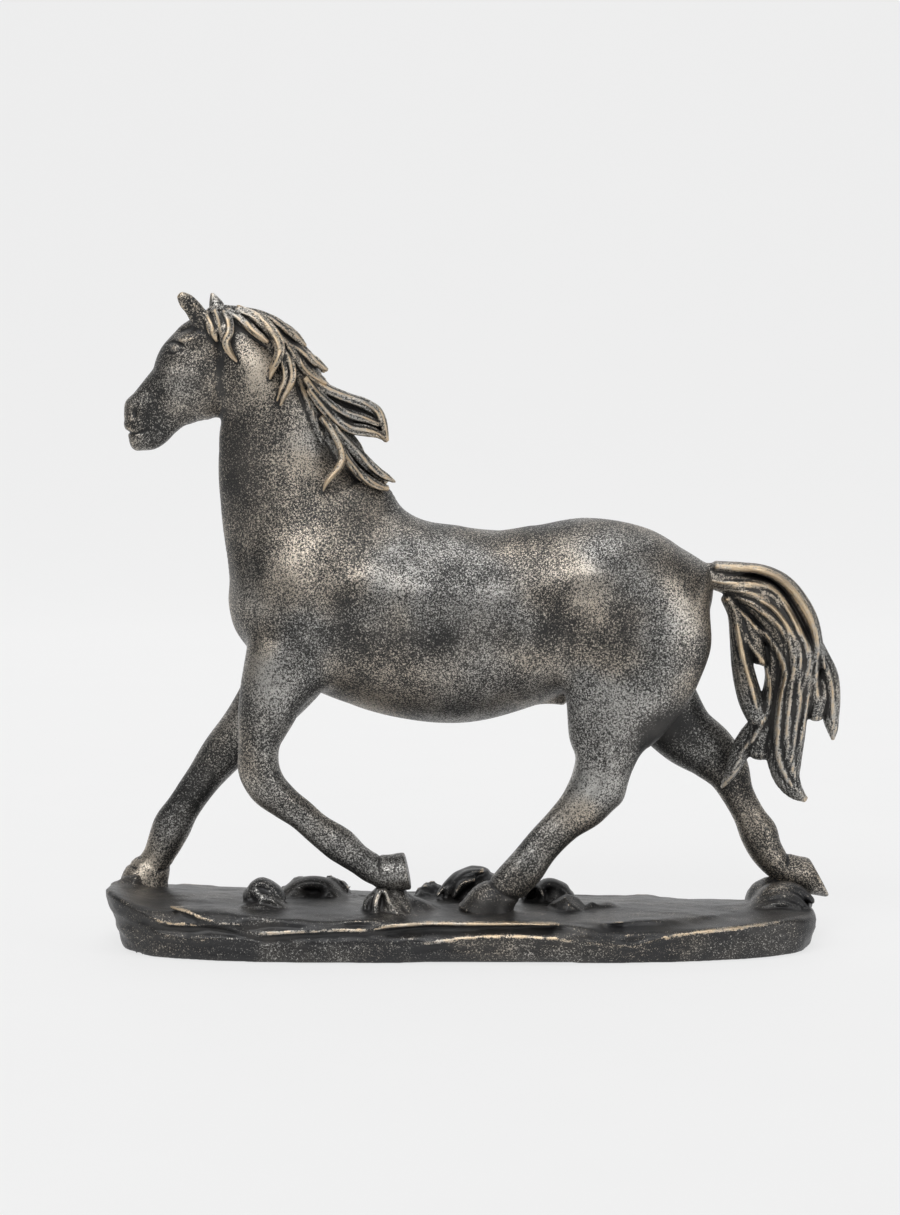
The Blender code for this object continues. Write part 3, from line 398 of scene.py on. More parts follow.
# Ridges and fins on the boulders: first y, step in y, half width, half thickness, path (x, z).
RIDGES = [
    (-17, 0, 1.8, 4.5, [(-85, 22.2), (-83.2, 25.2), (-80.4, 27.5), (-77.4, 26.7), (-74, 24.2), (-71.5, 20.8)]),
    (-21, -0.6, 1.5, 3.5, [(-79.8, 21), (-76.6, 22), (-73.2, 19.9), (-70.2, 17.5), (-64.2, 15.1), (-57.3, 11.9)]),
    (-24, -0.4, 1.6, 3, [(-86.9, 18.7), (-80.4, 18.4), (-75.6, 17.1), (-70.1, 13.7), (-68.1, 11.8)]),
    (10, -0.6, 2.6, 5, [(-72, 18.6), (-67.8, 20.5), (-64.6, 21.9), (-58.6, 22.5), (-54.5, 21.6), (-51.1, 18.7),
     (-48.4, 15.6), (-43.3, 12.8), (-38.3, 10.2)]),
    (5, -0.3, 1.8, 4, [(-70.5, 15.8), (-67.2, 18.7), (-64.4, 17.2), (-61.9, 13.9)]),
    (4, -0.3, 1.8, 4, [(-56.7, 15.6), (-53.8, 19.8), (-51, 17.4), (-48.1, 13.3)]),
    (-22, -1.5, 1.3, 3, [(-33.5, 25.1), (-37.3, 22), (-38.8, 17.8)]),
    (-27, -2, 1.4, 2.4, [(-32.4, 26.2), (-34, 21.4), (-33.9, 15)]),
    (-27, -1.6, 1.4, 2.4, [(-30.4, 26.2), (-28.4, 21.3), (-25, 17.2), (-19, 13.9)]),
    (-22, -1.5, 1.4, 3, [(-26.2, 24.7), (-23.1, 21.7), (-21.1, 17.8), (-20.2, 15.7)]),
    (-16, -1, 1.5, 4, [(-20.3, 20.8), (-14.8, 18.4), (-8.8, 14.7)]),
    (6, 0, 1.5, 3, [(-7.8, 14.5), (-3.8, 22.1), (2.3, 26.6), (8.4, 28)]),
    (2, 0, 1.3, 3, [(-3.3, 18.2), (0.3, 23.6), (4.9, 25.2)]),
    (4, 3, 1.2, 3, [(-9.9, 18.3), (-6.4, 21.9), (-2, 25.4), (4.2, 27.5)]),
    (4, 0, 1.9, 4.5, [(30.6, 20.4), (34.1, 23), (39.7, 21.8), (43.3, 18.3)]),
    (1, 0.5, 1.1, 3, [(24.5, 16.1), (25.9, 20.1), (29.6, 22.9)]),
    (-1, 0.3, 1.1, 2.6, [(25.1, 15.3), (29, 15), (32.5, 18), (31.5, 21.6)]),
    (-7, 0, 1.6, 4, [(49.4, 13.7), (54.2, 14.9), (59.4, 15.7), (63.9, 12.1)]),
    (4, 0.5, 2, 5, [(118.4, 15.6), (122.8, 19.2), (128.1, 21.2), (137.1, 19.8), (142.1, 15.6)]),
    (0, 0, 1.7, 4, [(116.3, 14.2), (122, 17.1), (128, 18.9), (134.9, 17.5), (139, 13.8)]),
    (-4, 0, 1.6, 4, [(114.4, 13), (121.2, 15.1), (128.7, 16.5), (135.3, 14.7)]),
]
# A ridge's width at its ends, as a part of its width between them.
RIDGE_END = 0.6


# ---------------------------------------------------------------- curves and noise

def spline(stations, spacing=1.2):
    """Points of a smooth curve through the stations, every column carried along."""
    points = np.array(stations, float)
    run = np.concatenate([[0], np.cumsum(np.linalg.norm(np.diff(points[:, :3], axis=0), axis=1))])
    slope = np.gradient(points, run, axis=0)
    at = np.linspace(0, run[-1], max(int(run[-1] / spacing), 8))
    before = np.clip(np.searchsorted(run, at, side="right") - 1, 0, len(run) - 2)
    width = (run[before + 1] - run[before])[:, None]
    t = (at - run[before])[:, None] / width
    return ((2 * t**3 - 3 * t**2 + 1) * points[before] + (t**3 - 2 * t**2 + t) * width * slope[before]
            + (3 * t**2 - 2 * t**3) * points[before + 1] + (t**3 - t**2) * width * slope[before + 1])


def along_curve(x, z, line):
    """For each (x, z): place along the line from 0 to 1, signed distance across, overshoot past an end."""
    gx, gz = np.meshgrid(x, z, indexing="ij")
    nearest = np.full(gx.shape, 1e9)
    place = np.zeros(gx.shape)
    across = np.zeros(gx.shape)
    beyond = np.zeros(gx.shape)
    last = len(line) - 2
    for n in range(last + 1):
        sx, sz = line[n, 0], line[n, 2]
        dx, dz = line[n + 1, 0] - sx, line[n + 1, 2] - sz
        length = math.hypot(dx, dz) or 1e-6
        dx, dz = dx / length, dz / length
        run = (gx - sx) * dx + (gz - sz) * dz
        side = (gz - sz) * dx - (gx - sx) * dz
        t = np.clip(run, 0, length)
        over = run - t
        distance = np.hypot(side, over)
        closer = distance < nearest
        nearest[closer] = distance[closer]
        place[closer] = ((n + t / length) / (last + 1))[closer]
        at_end = ((n == 0) & (run < 0)) | ((n == last) & (run > length))
        across[closer] = np.where(at_end, side, np.copysign(distance, side))[closer]
        beyond[closer] = np.where(at_end, np.abs(over), 0)[closer]
    return place, across, beyond


CORNERS = list(itertools.product((0, 1), repeat=3))


def lattice_noise(x, y, z, seed):
    """Smooth noise from -1 to 1 over coordinates that broadcast together, one cell a unit."""
    cells = [np.floor(axis).astype(np.int64) for axis in (x, y, z)]
    parts = [axis - cell for axis, cell in zip((x, y, z), cells)]
    fades = [part * part * (3 - 2 * part) for part in parts]
    total = 0.0
    for i, j, k in CORNERS:
        key = (cells[0] + i) * 73856093 ^ (cells[1] + j) * 19349663 ^ (cells[2] + k) * 83492791
        key = (key ^ seed * 2654435761) & 0xFFFFFFFF
        key = ((key ^ (key >> 15)) * 2246822519) & 0xFFFFFFFF
        key = ((key ^ (key >> 13)) * 3266489917) & 0xFFFFFFFF
        value = ((key ^ (key >> 16)) & 0xFFFF) / 32767.5 - 1
        near = [fade if upper else 1 - fade for fade, upper in zip(fades, (i, j, k))]
        total = total + value * (near[0] * near[1] * near[2])
    return total


def layered_noise(x, y, z, seed, octaves=3):
    return sum(lattice_noise(x * 2**n, y * 2**n, z * 2**n, seed + n) * 0.55**n for n in range(octaves))


# ---------------------------------------------------------------- the block that is sculpted

class Clay:
    """A block of signed distances in mm on a regular grid, negative inside the form.

    A combed block also keeps how far round its lock each point lies, which the hair's lines follow.
    """

    def __init__(self, low, high, step, combed=False):
        self.step = step
        self.low = np.array(low, float)
        counts = np.ceil((np.array(high, float) - self.low) / step).astype(int) + 1
        self.axes = [a + step * np.arange(count) for a, count in zip(self.low, counts)]
        self.field = np.full(counts, FAR, np.float32)
        self.flow = np.zeros(counts, np.float32) if combed else None
        self.hair = None
        self.soft = None

    def window(self, low, high):
        """The slices and the coordinates of the part of the block between two corners, or None."""
        cuts = tuple(
            slice(max(np.searchsorted(axis, a) - 1, 0), np.searchsorted(axis, b) + 1)
            for axis, a, b in zip(self.axes, low, high)
        )
        axes = [axis[cut] for axis, cut in zip(self.axes, cuts)]
        return (cuts, axes) if all(len(axis) > 1 for axis in axes) else None

    def unite(self, cuts, added, blend):
        """Joins a form on, with a fillet of that size."""
        here = self.field[cuts]
        joined = np.minimum(here, added)
        if blend:
            joined -= np.maximum(blend - np.abs(here - added), 0) ** 2 / (4 * blend)
        self.field[cuts] = joined

    def tube(self, stations, blend=0.0, cap=0.7, ribs=0, rib_depth=0.0, phase=0.0, twist=0.0, sole=None):
        """Unites a tapering elliptical tube; ribs are strands that run along it, a sole is a flat end."""
        line = spline(stations)
        grow = line[:, 3:5].max() + max(blend, 1.0) + 1.0
        found = self.window(line[:, :3].min(axis=0) - grow, line[:, :3].max(axis=0) + grow)
        if found is None:
            return
        cuts, (x, y, z) = found
        place, across, beyond = along_curve(x, z, line)
        at = np.arange(len(line)) / (len(line) - 1)
        centre, depth, thick = (np.interp(place, at, line[:, n]).astype(np.float32) for n in (1, 3, 4))
        ends = cap * np.minimum(depth, thick)
        a = (across / depth).astype(np.float32)[:, None, :]
        e = (beyond / ends).astype(np.float32)[:, None, :]
        b = (y[None, :, None].astype(np.float32) - centre[:, None, :]) / thick[:, None, :]
        flat = a * a + e * e
        steep = (a / depth[:, None, :]) ** 2 + (e / ends[:, None, :]) ** 2
        far = np.sqrt(flat + b * b)
        shape = far * (far - 1) / np.sqrt(steep + (b / thick[:, None, :]) ** 2 + 1e-9)
        if ribs:
            wander = (twist * place + 0.25 * np.sin(9 * place + phase)).astype(np.float32)
            turn = np.arctan2(b, a) + wander[:, None, :]
            fade = np.minimum(1, np.minimum(depth, thick) / 1.6)[:, None, :]
            shape = shape + rib_depth * fade * (1 - np.abs(np.sin(0.5 * ribs * turn + phase)))
        if sole:
            (sole_x, sole_z), (facing_x, facing_z) = sole
            cut = (x[:, None] - sole_x) * facing_x + (z[None, :] - sole_z) * facing_z
            shape = smooth_max(shape, cut[:, None, :].astype(np.float32), 1.0)
        if self.flow is not None:
            around = (np.arctan2(b, a) * (0.5 * (depth + thick))[:, None, :]).astype(np.float32)
            nearer = shape < self.field[cuts]
            self.flow[cuts] = np.where(nearer, around + 7.3 * phase, self.flow[cuts])
        self.unite(cuts, shape, blend)

    def swell(self, centre, radii, height, mirrored=False):
        """Raises a soft bump, or sinks a hollow where the height is negative."""
        centres = [centre, (centre[0], -centre[1], centre[2])] if mirrored and centre[1] else [centre]
        for middle in centres:
            middle, radii = np.array(middle, float), np.array(radii, float)
            found = self.window(middle - 2.4 * radii, middle + 2.4 * radii)
            if found is None:
                continue
            cuts, axes = found
            x, y, z = np.ix_(*(np.exp(-(((axis - m) / r) ** 2)) for axis, m, r in zip(axes, middle, radii)))
            self.field[cuts] -= (height * (x * y * z)).astype(np.float32)

    def smooth(self, centre, radii, radius):
        """Evens out the creases where forms meet, inside an ellipsoid."""
        middle, radii = np.array(centre, float), np.array(radii, float)
        cuts, axes = self.window(middle - radii - 2 * radius, middle + radii + 2 * radius)
        here = self.field[cuts]
        x, y, z = np.ix_(*(((axis - m) / r) ** 2 for axis, m, r in zip(axes, middle, radii)))
        part = np.clip(1.6 * (1 - (x + y + z)), 0, 1).astype(np.float32)
        self.field[cuts] = here + part * (self.blurred(radius, here) - here)

    def relief(self, path, width, height, side=0, pointed=True, only=None, mask=None):
        """Raises a strand along a path in the XZ plane, or cuts a groove where the height is negative.

        It goes through both sides, or one side of the horse, or between two y values, or where an XY mask says.
        """
        line = spline([(x, 0, z) for x, z in path], 0.8)
        low, high = line.min(axis=0) - 2.5 * width, line.max(axis=0) + 2.5 * width
        found = self.window((low[0], -60, low[2]), (high[0], 60, high[2]))
        if found is None:
            return
        cuts, (x, y, z) = found
        place, across, beyond = along_curve(x, z, line)
        taper = np.clip(8 * place * (1 - place), 0.15, 1) if pointed else 1.0
        away = np.hypot(across, beyond) / (width * (0.5 + 0.5 * taper))
        if height > 0:
            form = np.clip(1 - away * away, 0, 1) * taper
        else:
            form = np.exp(-away * away) * taper
        where = np.ones(len(y)) if not side else np.clip(0.5 + y * side / SIDE_BLEND, 0, 1)
        if only is not None:
            where = where * ((y > only[0]) & (y < only[1]))
        raised = height * form[:, None, :] * where[None, :, None]
        if mask is not None:
            raised = raised * mask[cuts[0], cuts[1], None]
        self.field[cuts] -= raised.astype(np.float32)

    def comb(self, spacing, depth, seed, bare=None):
        """Cuts fine strands that follow the locks; only where hair lies over the bare form, if one is given."""
        x, y, z = np.ix_(*self.axes)
        if bare is not None:
            self.hair = np.clip((bare - self.field) / 0.9, 0, 1)
        wave = self.flow / spacing + 0.4 * lattice_noise(x / 7, y / 7, z / 7, seed)
        deep = 0.55 + 0.45 * lattice_noise(x / 3.4, y / 3.4, z / 3.4, seed + 3)
        cut = depth * deep * (1 - np.abs(np.sin(math.pi * wave))) ** 1.5
        cut = cut * self.hair if bare is not None else cut
        self.field += cut.astype(np.float32)

    def blurred(self, radius, field=None):
        """The field, or the part of it given, averaged over about that radius."""
        soft = (self.field if field is None else field).copy()
        for _ in range(max(int(round((radius / self.step) ** 2)), 1)):
            for axis in range(3):
                line = soft.swapaxes(0, axis)
                pair = (line[1:] + line[:-1]) * 0.25
                line[1:-1] = pair[:-1] + pair[1:]
        return soft

    def sample(self, values, points):
        """The values at these points, between the grid's own points."""
        at = (points - self.low) / self.step
        cell = np.clip(at.astype(int), 0, np.array(values.shape) - 2)
        part = np.clip(at - cell, 0, 1)
        total = 0.0
        for corner in CORNERS:
            weight = np.where(corner, part, 1 - part).prod(axis=1)
            total = total + weight * values[tuple((cell + corner).T)]
        return total

    def slope(self, points):
        offsets = np.eye(3) * self.step * 0.75
        return np.stack([
            (self.sample(self.field, points + offset) - self.sample(self.field, points - offset))
            / (1.5 * self.step) for offset in offsets
        ], axis=1)

    def skin(self):
        """Points and quads of the form's surface."""
        for axis, end in itertools.product(range(3), (0, -1)):
            face = self.field.swapaxes(0, axis)[end]
            np.maximum(face, 0.5 * self.step, out=face)
        grid = openvdb.FloatGrid()
        grid.copyFromArray(self.field)
        points, _, quads = grid.convertToPolygons(isovalue=0.0, adaptivity=0.0)
        points = np.array(points, float) * self.step + self.low
        quads = np.array(quads, np.int64)
        corner = points[quads]
        volume = np.einsum("ij,ij->i", corner[:, 0], np.cross(corner[:, 1], corner[:, 2])).sum()
        if volume < 0:
            quads = quads[:, ::-1]
        slope = self.slope(points)
        lift = self.sample(self.field, points) / np.maximum((slope**2).sum(axis=1), 0.25)
        points = points - slope * np.clip(lift, -0.5 * self.step, 0.5 * self.step)[:, None]
        return points, quads


# ---------------------------------------------------------------- pieces

def placed(points):
    """Table millimetres to metres in the frame."""
    return (FRAME_LOW + (points - DRAWN_LOW) / (DRAWN_HIGH - DRAWN_LOW) * FRAME_SIDES) * MM


def beyond_cut(points, cut):
    """Signed distance past a saw cut, for each point."""
    (x, z), (dx, dz) = cut[:2]
    length = math.hypot(dx, dz)
    return ((points[:, 0] - x) * dx + (points[:, 2] - z) * dz) / length


def coat_with_painted_light(points, coat_and_light_patches):
    """Where the dry-brushed coat was laid on thicker (above 0) or thinner on both sides of the horse, with painted
    highlights and painted shade laid in as thicker and thinner coat.
    """
    coat_and_light = np.zeros(len(points))
    for (x, z), (long, high), amount in coat_and_light_patches:
        coat_and_light += amount * np.exp(-((points[:, 0] - x) / long) ** 2 - ((points[:, 2] - z) / high) ** 2)
    return coat_and_light


def rims(faces):
    """The open edges of a set of quads as closed loops of point numbers."""
    ends = np.concatenate([faces[:, [n, (n + 1) % 4]] for n in range(4)])
    size = int(faces.max()) + 1
    codes = ends[:, 0] * size + ends[:, 1]
    lone = ends[~np.isin(ends[:, 1] * size + ends[:, 0], codes)]
    following = {}
    for a, b in lone:
        following.setdefault(int(a), []).append(int(b))
    loops = []
    while following:
        start = next(iter(following))
        loop, here = [], start
        while here in following:
            loop.append(here)
            nexts = following[here]
            there = nexts.pop()
            if not nexts:
                del following[here]
            here = there
        if len(loop) > 2:
            loops.append(loop)
    return loops


def snapped(points, faces, cut):
    """Moves the rim of the faces at this saw cut onto the cut, so that two castings meet on it."""
    moved = points.copy()
    direction = np.array((cut[1][0], 0, cut[1][1])) / math.hypot(*cut[1])
    for loop in rims(faces):
        gap = beyond_cut(moved[loop], cut)
        near = np.array(loop)[np.abs(gap) < 2 * BODY_STEP]
        moved[near] -= np.outer(beyond_cut(moved[near], cut), direction)
    return moved


def add_piece(node, clay, points, faces, finish, hair=0.0, coat_and_light_patches=COAT_AND_PAINTED_LIGHT, name=None):
    """A mesh object of these faces, its open cuts closed by a fan, standing for its CAD node.

    The finish is its material and a name that nothing reads; hair is 1 on a piece that is all locks.
    """
    name = name or f"{node}_casting"
    used, renumbered = np.unique(faces, return_inverse=True)
    faces = renumbered.reshape(-1, 4)
    points = points[used]
    normals = clay.slope(points)
    normals /= np.maximum(np.linalg.norm(normals, axis=1, keepdims=True), 1e-9)
    if clay.soft is None:
        clay.soft = clay.blurred(RIDGE_RADIUS)
    values = {"ridge": clay.sample(clay.soft, points) - clay.sample(clay.field, points)}
    values["flow"] = clay.sample(clay.flow, points) if clay.flow is not None else np.zeros(len(points))
    values["hair"] = clay.sample(clay.hair, points) if clay.hair is not None else np.full(len(points), hair)
    # The coat value: thicker brush coat, with painted highlights and painted shade from the tables.
    values["coat_and_light"] = coat_with_painted_light(points, coat_and_light_patches)
    values["ridge"] *= np.clip((points[:, 2] - 1.5) / 4, 0, 1)
    caps = []
    for loop in rims(faces):
        middle = len(points)
        points = np.vstack([points, points[loop].mean(axis=0)])
        normals = np.vstack([normals, normals[loop].mean(axis=0)])
        values = {key: np.append(value, 0.0) for key, value in values.items()}
        caps += [(loop[(n + 1) % len(loop)], loop[n], middle) for n in range(len(loop))]
    mesh = bpy.data.meshes.new(name)
    corners = np.concatenate([faces.ravel(), np.array(caps, np.int64).ravel()])
    starts = np.concatenate([np.arange(len(faces)) * 4, len(faces) * 4 + np.arange(len(caps)) * 3])
    mesh.vertices.add(len(points))
    mesh.loops.add(len(corners))
    mesh.polygons.add(len(starts))
    mesh.vertices.foreach_set("co", placed(points).astype(np.float32).ravel())
    mesh.loops.foreach_set("vertex_index", corners.astype(np.int32))
    mesh.polygons.foreach_set("loop_start", starts.astype(np.int32))
    mesh.update(calc_edges=True)
    mesh.validate()
    mesh.polygons.foreach_set("use_smooth", np.ones(len(mesh.polygons), bool))
    for key, value in values.items():
        mesh.attributes.new(key, "FLOAT", "POINT").data.foreach_set("value", value.astype(np.float32))
    mesh.materials.append(finish[0])
    mesh.normals_split_custom_set_from_vertices(normals.astype(np.float32))
    piece = bpy.data.objects.new(name, mesh)
    bpy.context.scene.collection.objects.link(piece)
    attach(piece, "root")
    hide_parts(node)


# ---------------------------------------------------------------- sculpting

def model_body(clay):
    """Torso and neck blended, with their muscles; model_legs and model_head add the rest."""
    clay.tube(TORSO, 0, cap=0.46)
    clay.tube(SHEATH, 3)
    clay.tube(NECK, 8)
    for centre, radii, height in BODY_SWELLS + NECK_SWELLS:
        clay.swell(centre, radii, height, mirrored=True)


def model_legs(clay):
    for stations in LEGS.values():
        clay.tube(stations, 5)
    for centre, radii, height in LEG_SWELLS:
        clay.swell(centre, radii, height)
    for stations, cap, sole in HOOVES.values():
        clay.tube(stations, 0.9, cap=cap, sole=sole)
    clay.smooth((-84, 0, 136), (22, 24, 25), 3.2)
    # Tendon and bone lines.
    near, off = (-40, -12), (12, 40)
    clay.relief([(-72, 86), (-70, 74), (-64, 62), (-50, 51)], 1.6, -0.5, only=near)
    clay.relief([(56, 84), (55, 72), (48, 62), (34, 50), (26, 41)], 1.8, -0.6, only=near)
    clay.relief([(-95, 82), (-104, 68), (-112, 57)], 1.6, -0.5, only=off)
    clay.relief([(-32.9, 38.4), (-32.7, 31), (-32.9, 24.6)], 0.7, -0.8, pointed=False, only=near)
    clay.relief([(9.6, 29.6), (15, 24.6), (24, 20.8)], 0.8, -0.8, pointed=False, only=near)
    clay.relief([(133.4, 33), (132.2, 26), (130.2, 19.4)], 0.8, -0.8, pointed=False, only=off)
    clay.relief([(-137, 28.6), (-128, 26.4), (-119, 27.4)], 0.7, -0.6, pointed=False, only=off)


def model_head(clay):
    clay.tube(HEAD, 3, cap=0.5)
    clay.tube(JOWL, 2.5)
    clay.tube(CHIN, 2.5)
    clay.tube(BROW, 4)
    for centre, radii, height in HEAD_SWELLS:
        clay.swell(centre, radii, height, mirrored=True)
    for path, width, depth in HEAD_LINES:
        clay.relief(path, width, -depth)
    for stations in EARS:
        clay.tube(stations, 1.6)
    # The open front of each ear.
    clay.swell((-107.4, -11.6, 254.6), (1.5, 2.6, 3.2), -2.2)
    clay.swell((-105.4, -11.2, 251), (1.3, 2.2, 3), -1.6)
    clay.swell((-98.9, 11.6, 255), (1.3, 2.6, 3.4), -2.0)


def mirrored(stations, number):
    """The lock on the other side of the neck, a little out of step with its twin."""
    shift_x, shift_z = 1.8 * math.sin(3.1 * number + 1), 1.4 * math.cos(2.3 * number)
    return [(x + shift_x, -y, z + shift_z, depth, thick) for x, y, z, depth, thick in stations]


def model_mane(clay):
    clay.tube(CREST, 2.5, ribs=7, rib_depth=0.6, phase=0.4, twist=1.4)
    for path, width, height in CREST_STRANDS:
        clay.relief(path, width, height, side=-1)
        clay.relief([(x + 1.1, z - 0.8) for x, z in path], width, height, side=1)
    for number, stations in enumerate(TOP_LOCKS):
        clay.tube(stations, 0.8, ribs=6, rib_depth=0.7, phase=number, twist=1.5)
        if number in (1, 3):
            clay.tube(mirrored(stations, number), 0.8, ribs=6, rib_depth=0.7, phase=number + 0.5, twist=1.5)
    for number, stations in enumerate(SIDE_LOCKS):
        clay.tube(stations, 0.7, ribs=5, rib_depth=0.6, phase=0.8 * number, twist=1.5)
        clay.tube(mirrored(stations, number), 0.7, ribs=5, rib_depth=0.6, phase=0.8 * number + 1, twist=1.5)


def model_flight(clay, fill, locks):
    clay.tube(fill, 0, ribs=12, rib_depth=0.8, phase=0.3, twist=1.2)
    for number, stations in enumerate(locks):
        clay.tube(stations, 0.8, ribs=6, rib_depth=0.8, phase=1.1 * number, twist=1.5)
        off = [(x - 0.6, -y, z - 0.5, depth, thick) for x, y, z, depth, thick in stations]
        clay.tube(off, 0.8, ribs=6, rib_depth=0.8, phase=1.1 * number + 0.7, twist=1.5)


def model_tail(clay):
    for number, stations in enumerate(TAIL_LOCKS):
        clay.tube(stations, 1.2, phase=0.7 * number)
    for path, width, height in TAIL_STRANDS:
        clay.relief(path, width, height, side=-1)
        other = [(x + 1.2, z + 0.8 * math.sin(0.1 * x)) for x, z in path]
        clay.relief(other, width, height, side=1)
    for path, width, depth in TAIL_GROOVES:
        clay.relief(path, width, -depth)


def ground_height(x, y):
    lengthwise = 14.4 - 0.018 * x + 2.8 * np.maximum(0.0, -x / BASE_HALF_LENGTH) ** 3
    lengthwise = lengthwise + 1.6 * np.exp(-((x + 143) / 9) ** 2)
    return lengthwise + 2.2 * (1 - (y / BASE_HALF_DEPTH) ** 2) - 0.035 * y - 0.022 * np.maximum(y, 0)


def smooth_max(a, b, blend):
    return np.maximum(a, b) + np.maximum(blend - np.abs(a - b), 0) ** 2 / (4 * blend)


def add_boulder(clay, centre, half, turn, seed, rough, kind):
    grow = np.array(half) + 4
    found = clay.window(np.array(centre) - grow, np.array(centre) + grow)
    cuts, (x, y, z) = found
    x, y, z = x[:, None, None] - centre[0], y[None, :, None] - centre[1], z[None, None, :] - centre[2]
    c, s = math.cos(math.radians(turn)), math.sin(math.radians(turn))
    u, v, w = (x * c + y * s) / half[0], (y * c - x * s) / half[1], z / half[2]
    far = np.sqrt(u * u + v * v + w * w)
    form = (far - 1) * min(half)
    px, py, pz = x / 6 + seed, y / 6, z / 6
    if kind == "lumps":
        form = form + rough * layered_noise(px * 1.4, py * 1.4, pz * 1.4, seed, 3)
        form = form + 0.9 * (1 - np.abs(lattice_noise(px * 1.6, py * 1.6, pz * 1.6, seed + 7)) * 2).clip(0, 1) ** 3
    elif kind == "facets":
        for n in range(11):
            polar, angle = math.acos(1 - 1.2 * (n + 0.5) / 11), 2.4 * n + seed
            direction = (math.sin(polar) * math.cos(angle), math.sin(polar) * math.sin(angle), math.cos(polar))
            reach = 0.80 + 0.10 * math.sin(5.3 * n + seed)
            form = np.maximum(form, (u * direction[0] + v * direction[1] + w * direction[2] - reach) * min(half))
        form = form + 0.3 * layered_noise(px, py, pz, seed, 3)
    elif kind == "rays":
        angle = np.arctan2(y, x + 0.001)
        wave = 7 * angle + 1.3 * lattice_noise(px, py, pz * 1.5, seed)
        form = form + 1.3 * (1 - np.abs(np.sin(wave / 2))) * np.clip(1.4 - w, 0, 1)
        form = form + 0.3 * layered_noise(px, py, pz, seed)
    elif kind == "folds":
        wave = 0.75 * x + 0.9 * z + 2.2 * lattice_noise(px * 0.8, py * 0.8, pz * 0.8, seed)
        form = form + 1.1 * (1 - np.abs(np.sin(wave / 2))) + rough * 0.7 * layered_noise(px, py, pz, seed, 3)
    else:
        sweep = np.sqrt((x - 0.7 * half[0]) ** 2 + (z + 0.9 * half[2]) ** 2)
        wave = 1.15 * sweep + 1.2 * lattice_noise(px * 0.7, py * 0.7, pz * 0.7, seed)
        form = form + 0.9 * (1 - np.abs(np.sin(wave / 2))) + 0.5 * layered_noise(px, py, pz, seed, 3)
    clay.unite(cuts, form.astype(np.float32), 1.6)


def model_ground(clay):
    x, y, z = clay.axes
    gx, gy = np.meshgrid(x, y, indexing="ij")
    angle = np.arctan2(gy / BASE_HALF_DEPTH, gx / BASE_HALF_LENGTH)
    power = 2 / 0.62
    half_depth = BASE_HALF_DEPTH * (1 + 0.012 * np.sin(5 * angle + 1) + 0.008 * np.sin(9 * angle))
    lean = 0.35 * np.maximum(0, -gx / BASE_HALF_LENGTH) ** 4
    tuck = 0.32 * np.maximum(0, gx / BASE_HALF_LENGTH) ** 5
    field = clay.field
    top = ground_height(gx, gy) + 0.35 * layered_noise(gx / 16, gy / 11, 0 * gx, 5, 3)
    top = top + 0.3 * np.sin(gx / 9 + 2 * lattice_noise(gx / 30, gy / 22, 0 * gx, 8)) * (gy < 30)
    lip = np.abs(gx / (BASE_HALF_LENGTH - LIP)) ** power + np.abs(gy / (BASE_HALF_DEPTH - LIP)) ** power > 1
    foot = np.where(lip, RIM_FOOT, GROUND_FOOT)
    for level, height in enumerate(z):
        sx = gx + lean * (height - 18.5) + tuck * max(0.0, 8.5 - height)
        ratio = (np.abs(sx / BASE_HALF_LENGTH) ** power + np.abs(gy / half_depth) ** power) ** (1 / power)
        steep = np.hypot(*np.gradient(ratio, clay.step))
        outside = (ratio - 1) / np.maximum(steep, 0.004)
        inset = 0.9 * np.clip((2.5 - height) / 2.5, 0, 1) ** 1.5 + 0.4 * np.clip((8.5 - height) / 5, 0, 1)
        rough = 0.45 * layered_noise(gx / 9, gy / 9, 0 * gx + height / 3.2, 3, 3)
        outside = outside + inset + 0.35 + rough
        slab = smooth_max(outside, height - top, 3.2)
        field[:, :, level] = np.maximum(slab, foot - height)
    for centre, half, depth in POCKETS:
        clay.swell((centre[0], -45, centre[1]), (half[0], 6, half[1]), -depth)
        clay.swell((-centre[0] + 6, 45, centre[1]), (half[0], 6, half[1]), -depth)
    rim = (np.abs(gx / BASE_HALF_LENGTH) ** power + np.abs(gy / BASE_HALF_DEPTH) ** power) ** (1 / power)
    rim = np.clip((rim - 0.76) / 0.17, 0, 1)
    for path, height, groove in LEDGES:
        twin = [(4 - 0.97 * px, pz - 0.4) for px, pz in reversed(path)]
        for line, side in ((path, -1), (twin, 1)):
            under = [(px, pz - 2.6) for px, pz in line]
            clay.relief(line, 1.3, 1.05 * height, side=side, mask=rim)
            if groove > 0:
                clay.relief(under, 2.0, -1.15 * groove, side=side, mask=rim)
    for boulder in BOULDERS:
        add_boulder(clay, *boulder)
    for start, step, wide, thick, path in RIDGES:
        ends = round(RIDGE_END * wide, 1)
        clay.tube([(px, start + step * n, pz, wide if 0 < n < len(path) - 1 else ends, thick)
                   for n, (px, pz) in enumerate(path)], 1.8)
    clay.swell((-140, 0, 11), (4, 40, 4), -0.8)


# ---------------------------------------------------------------- materials

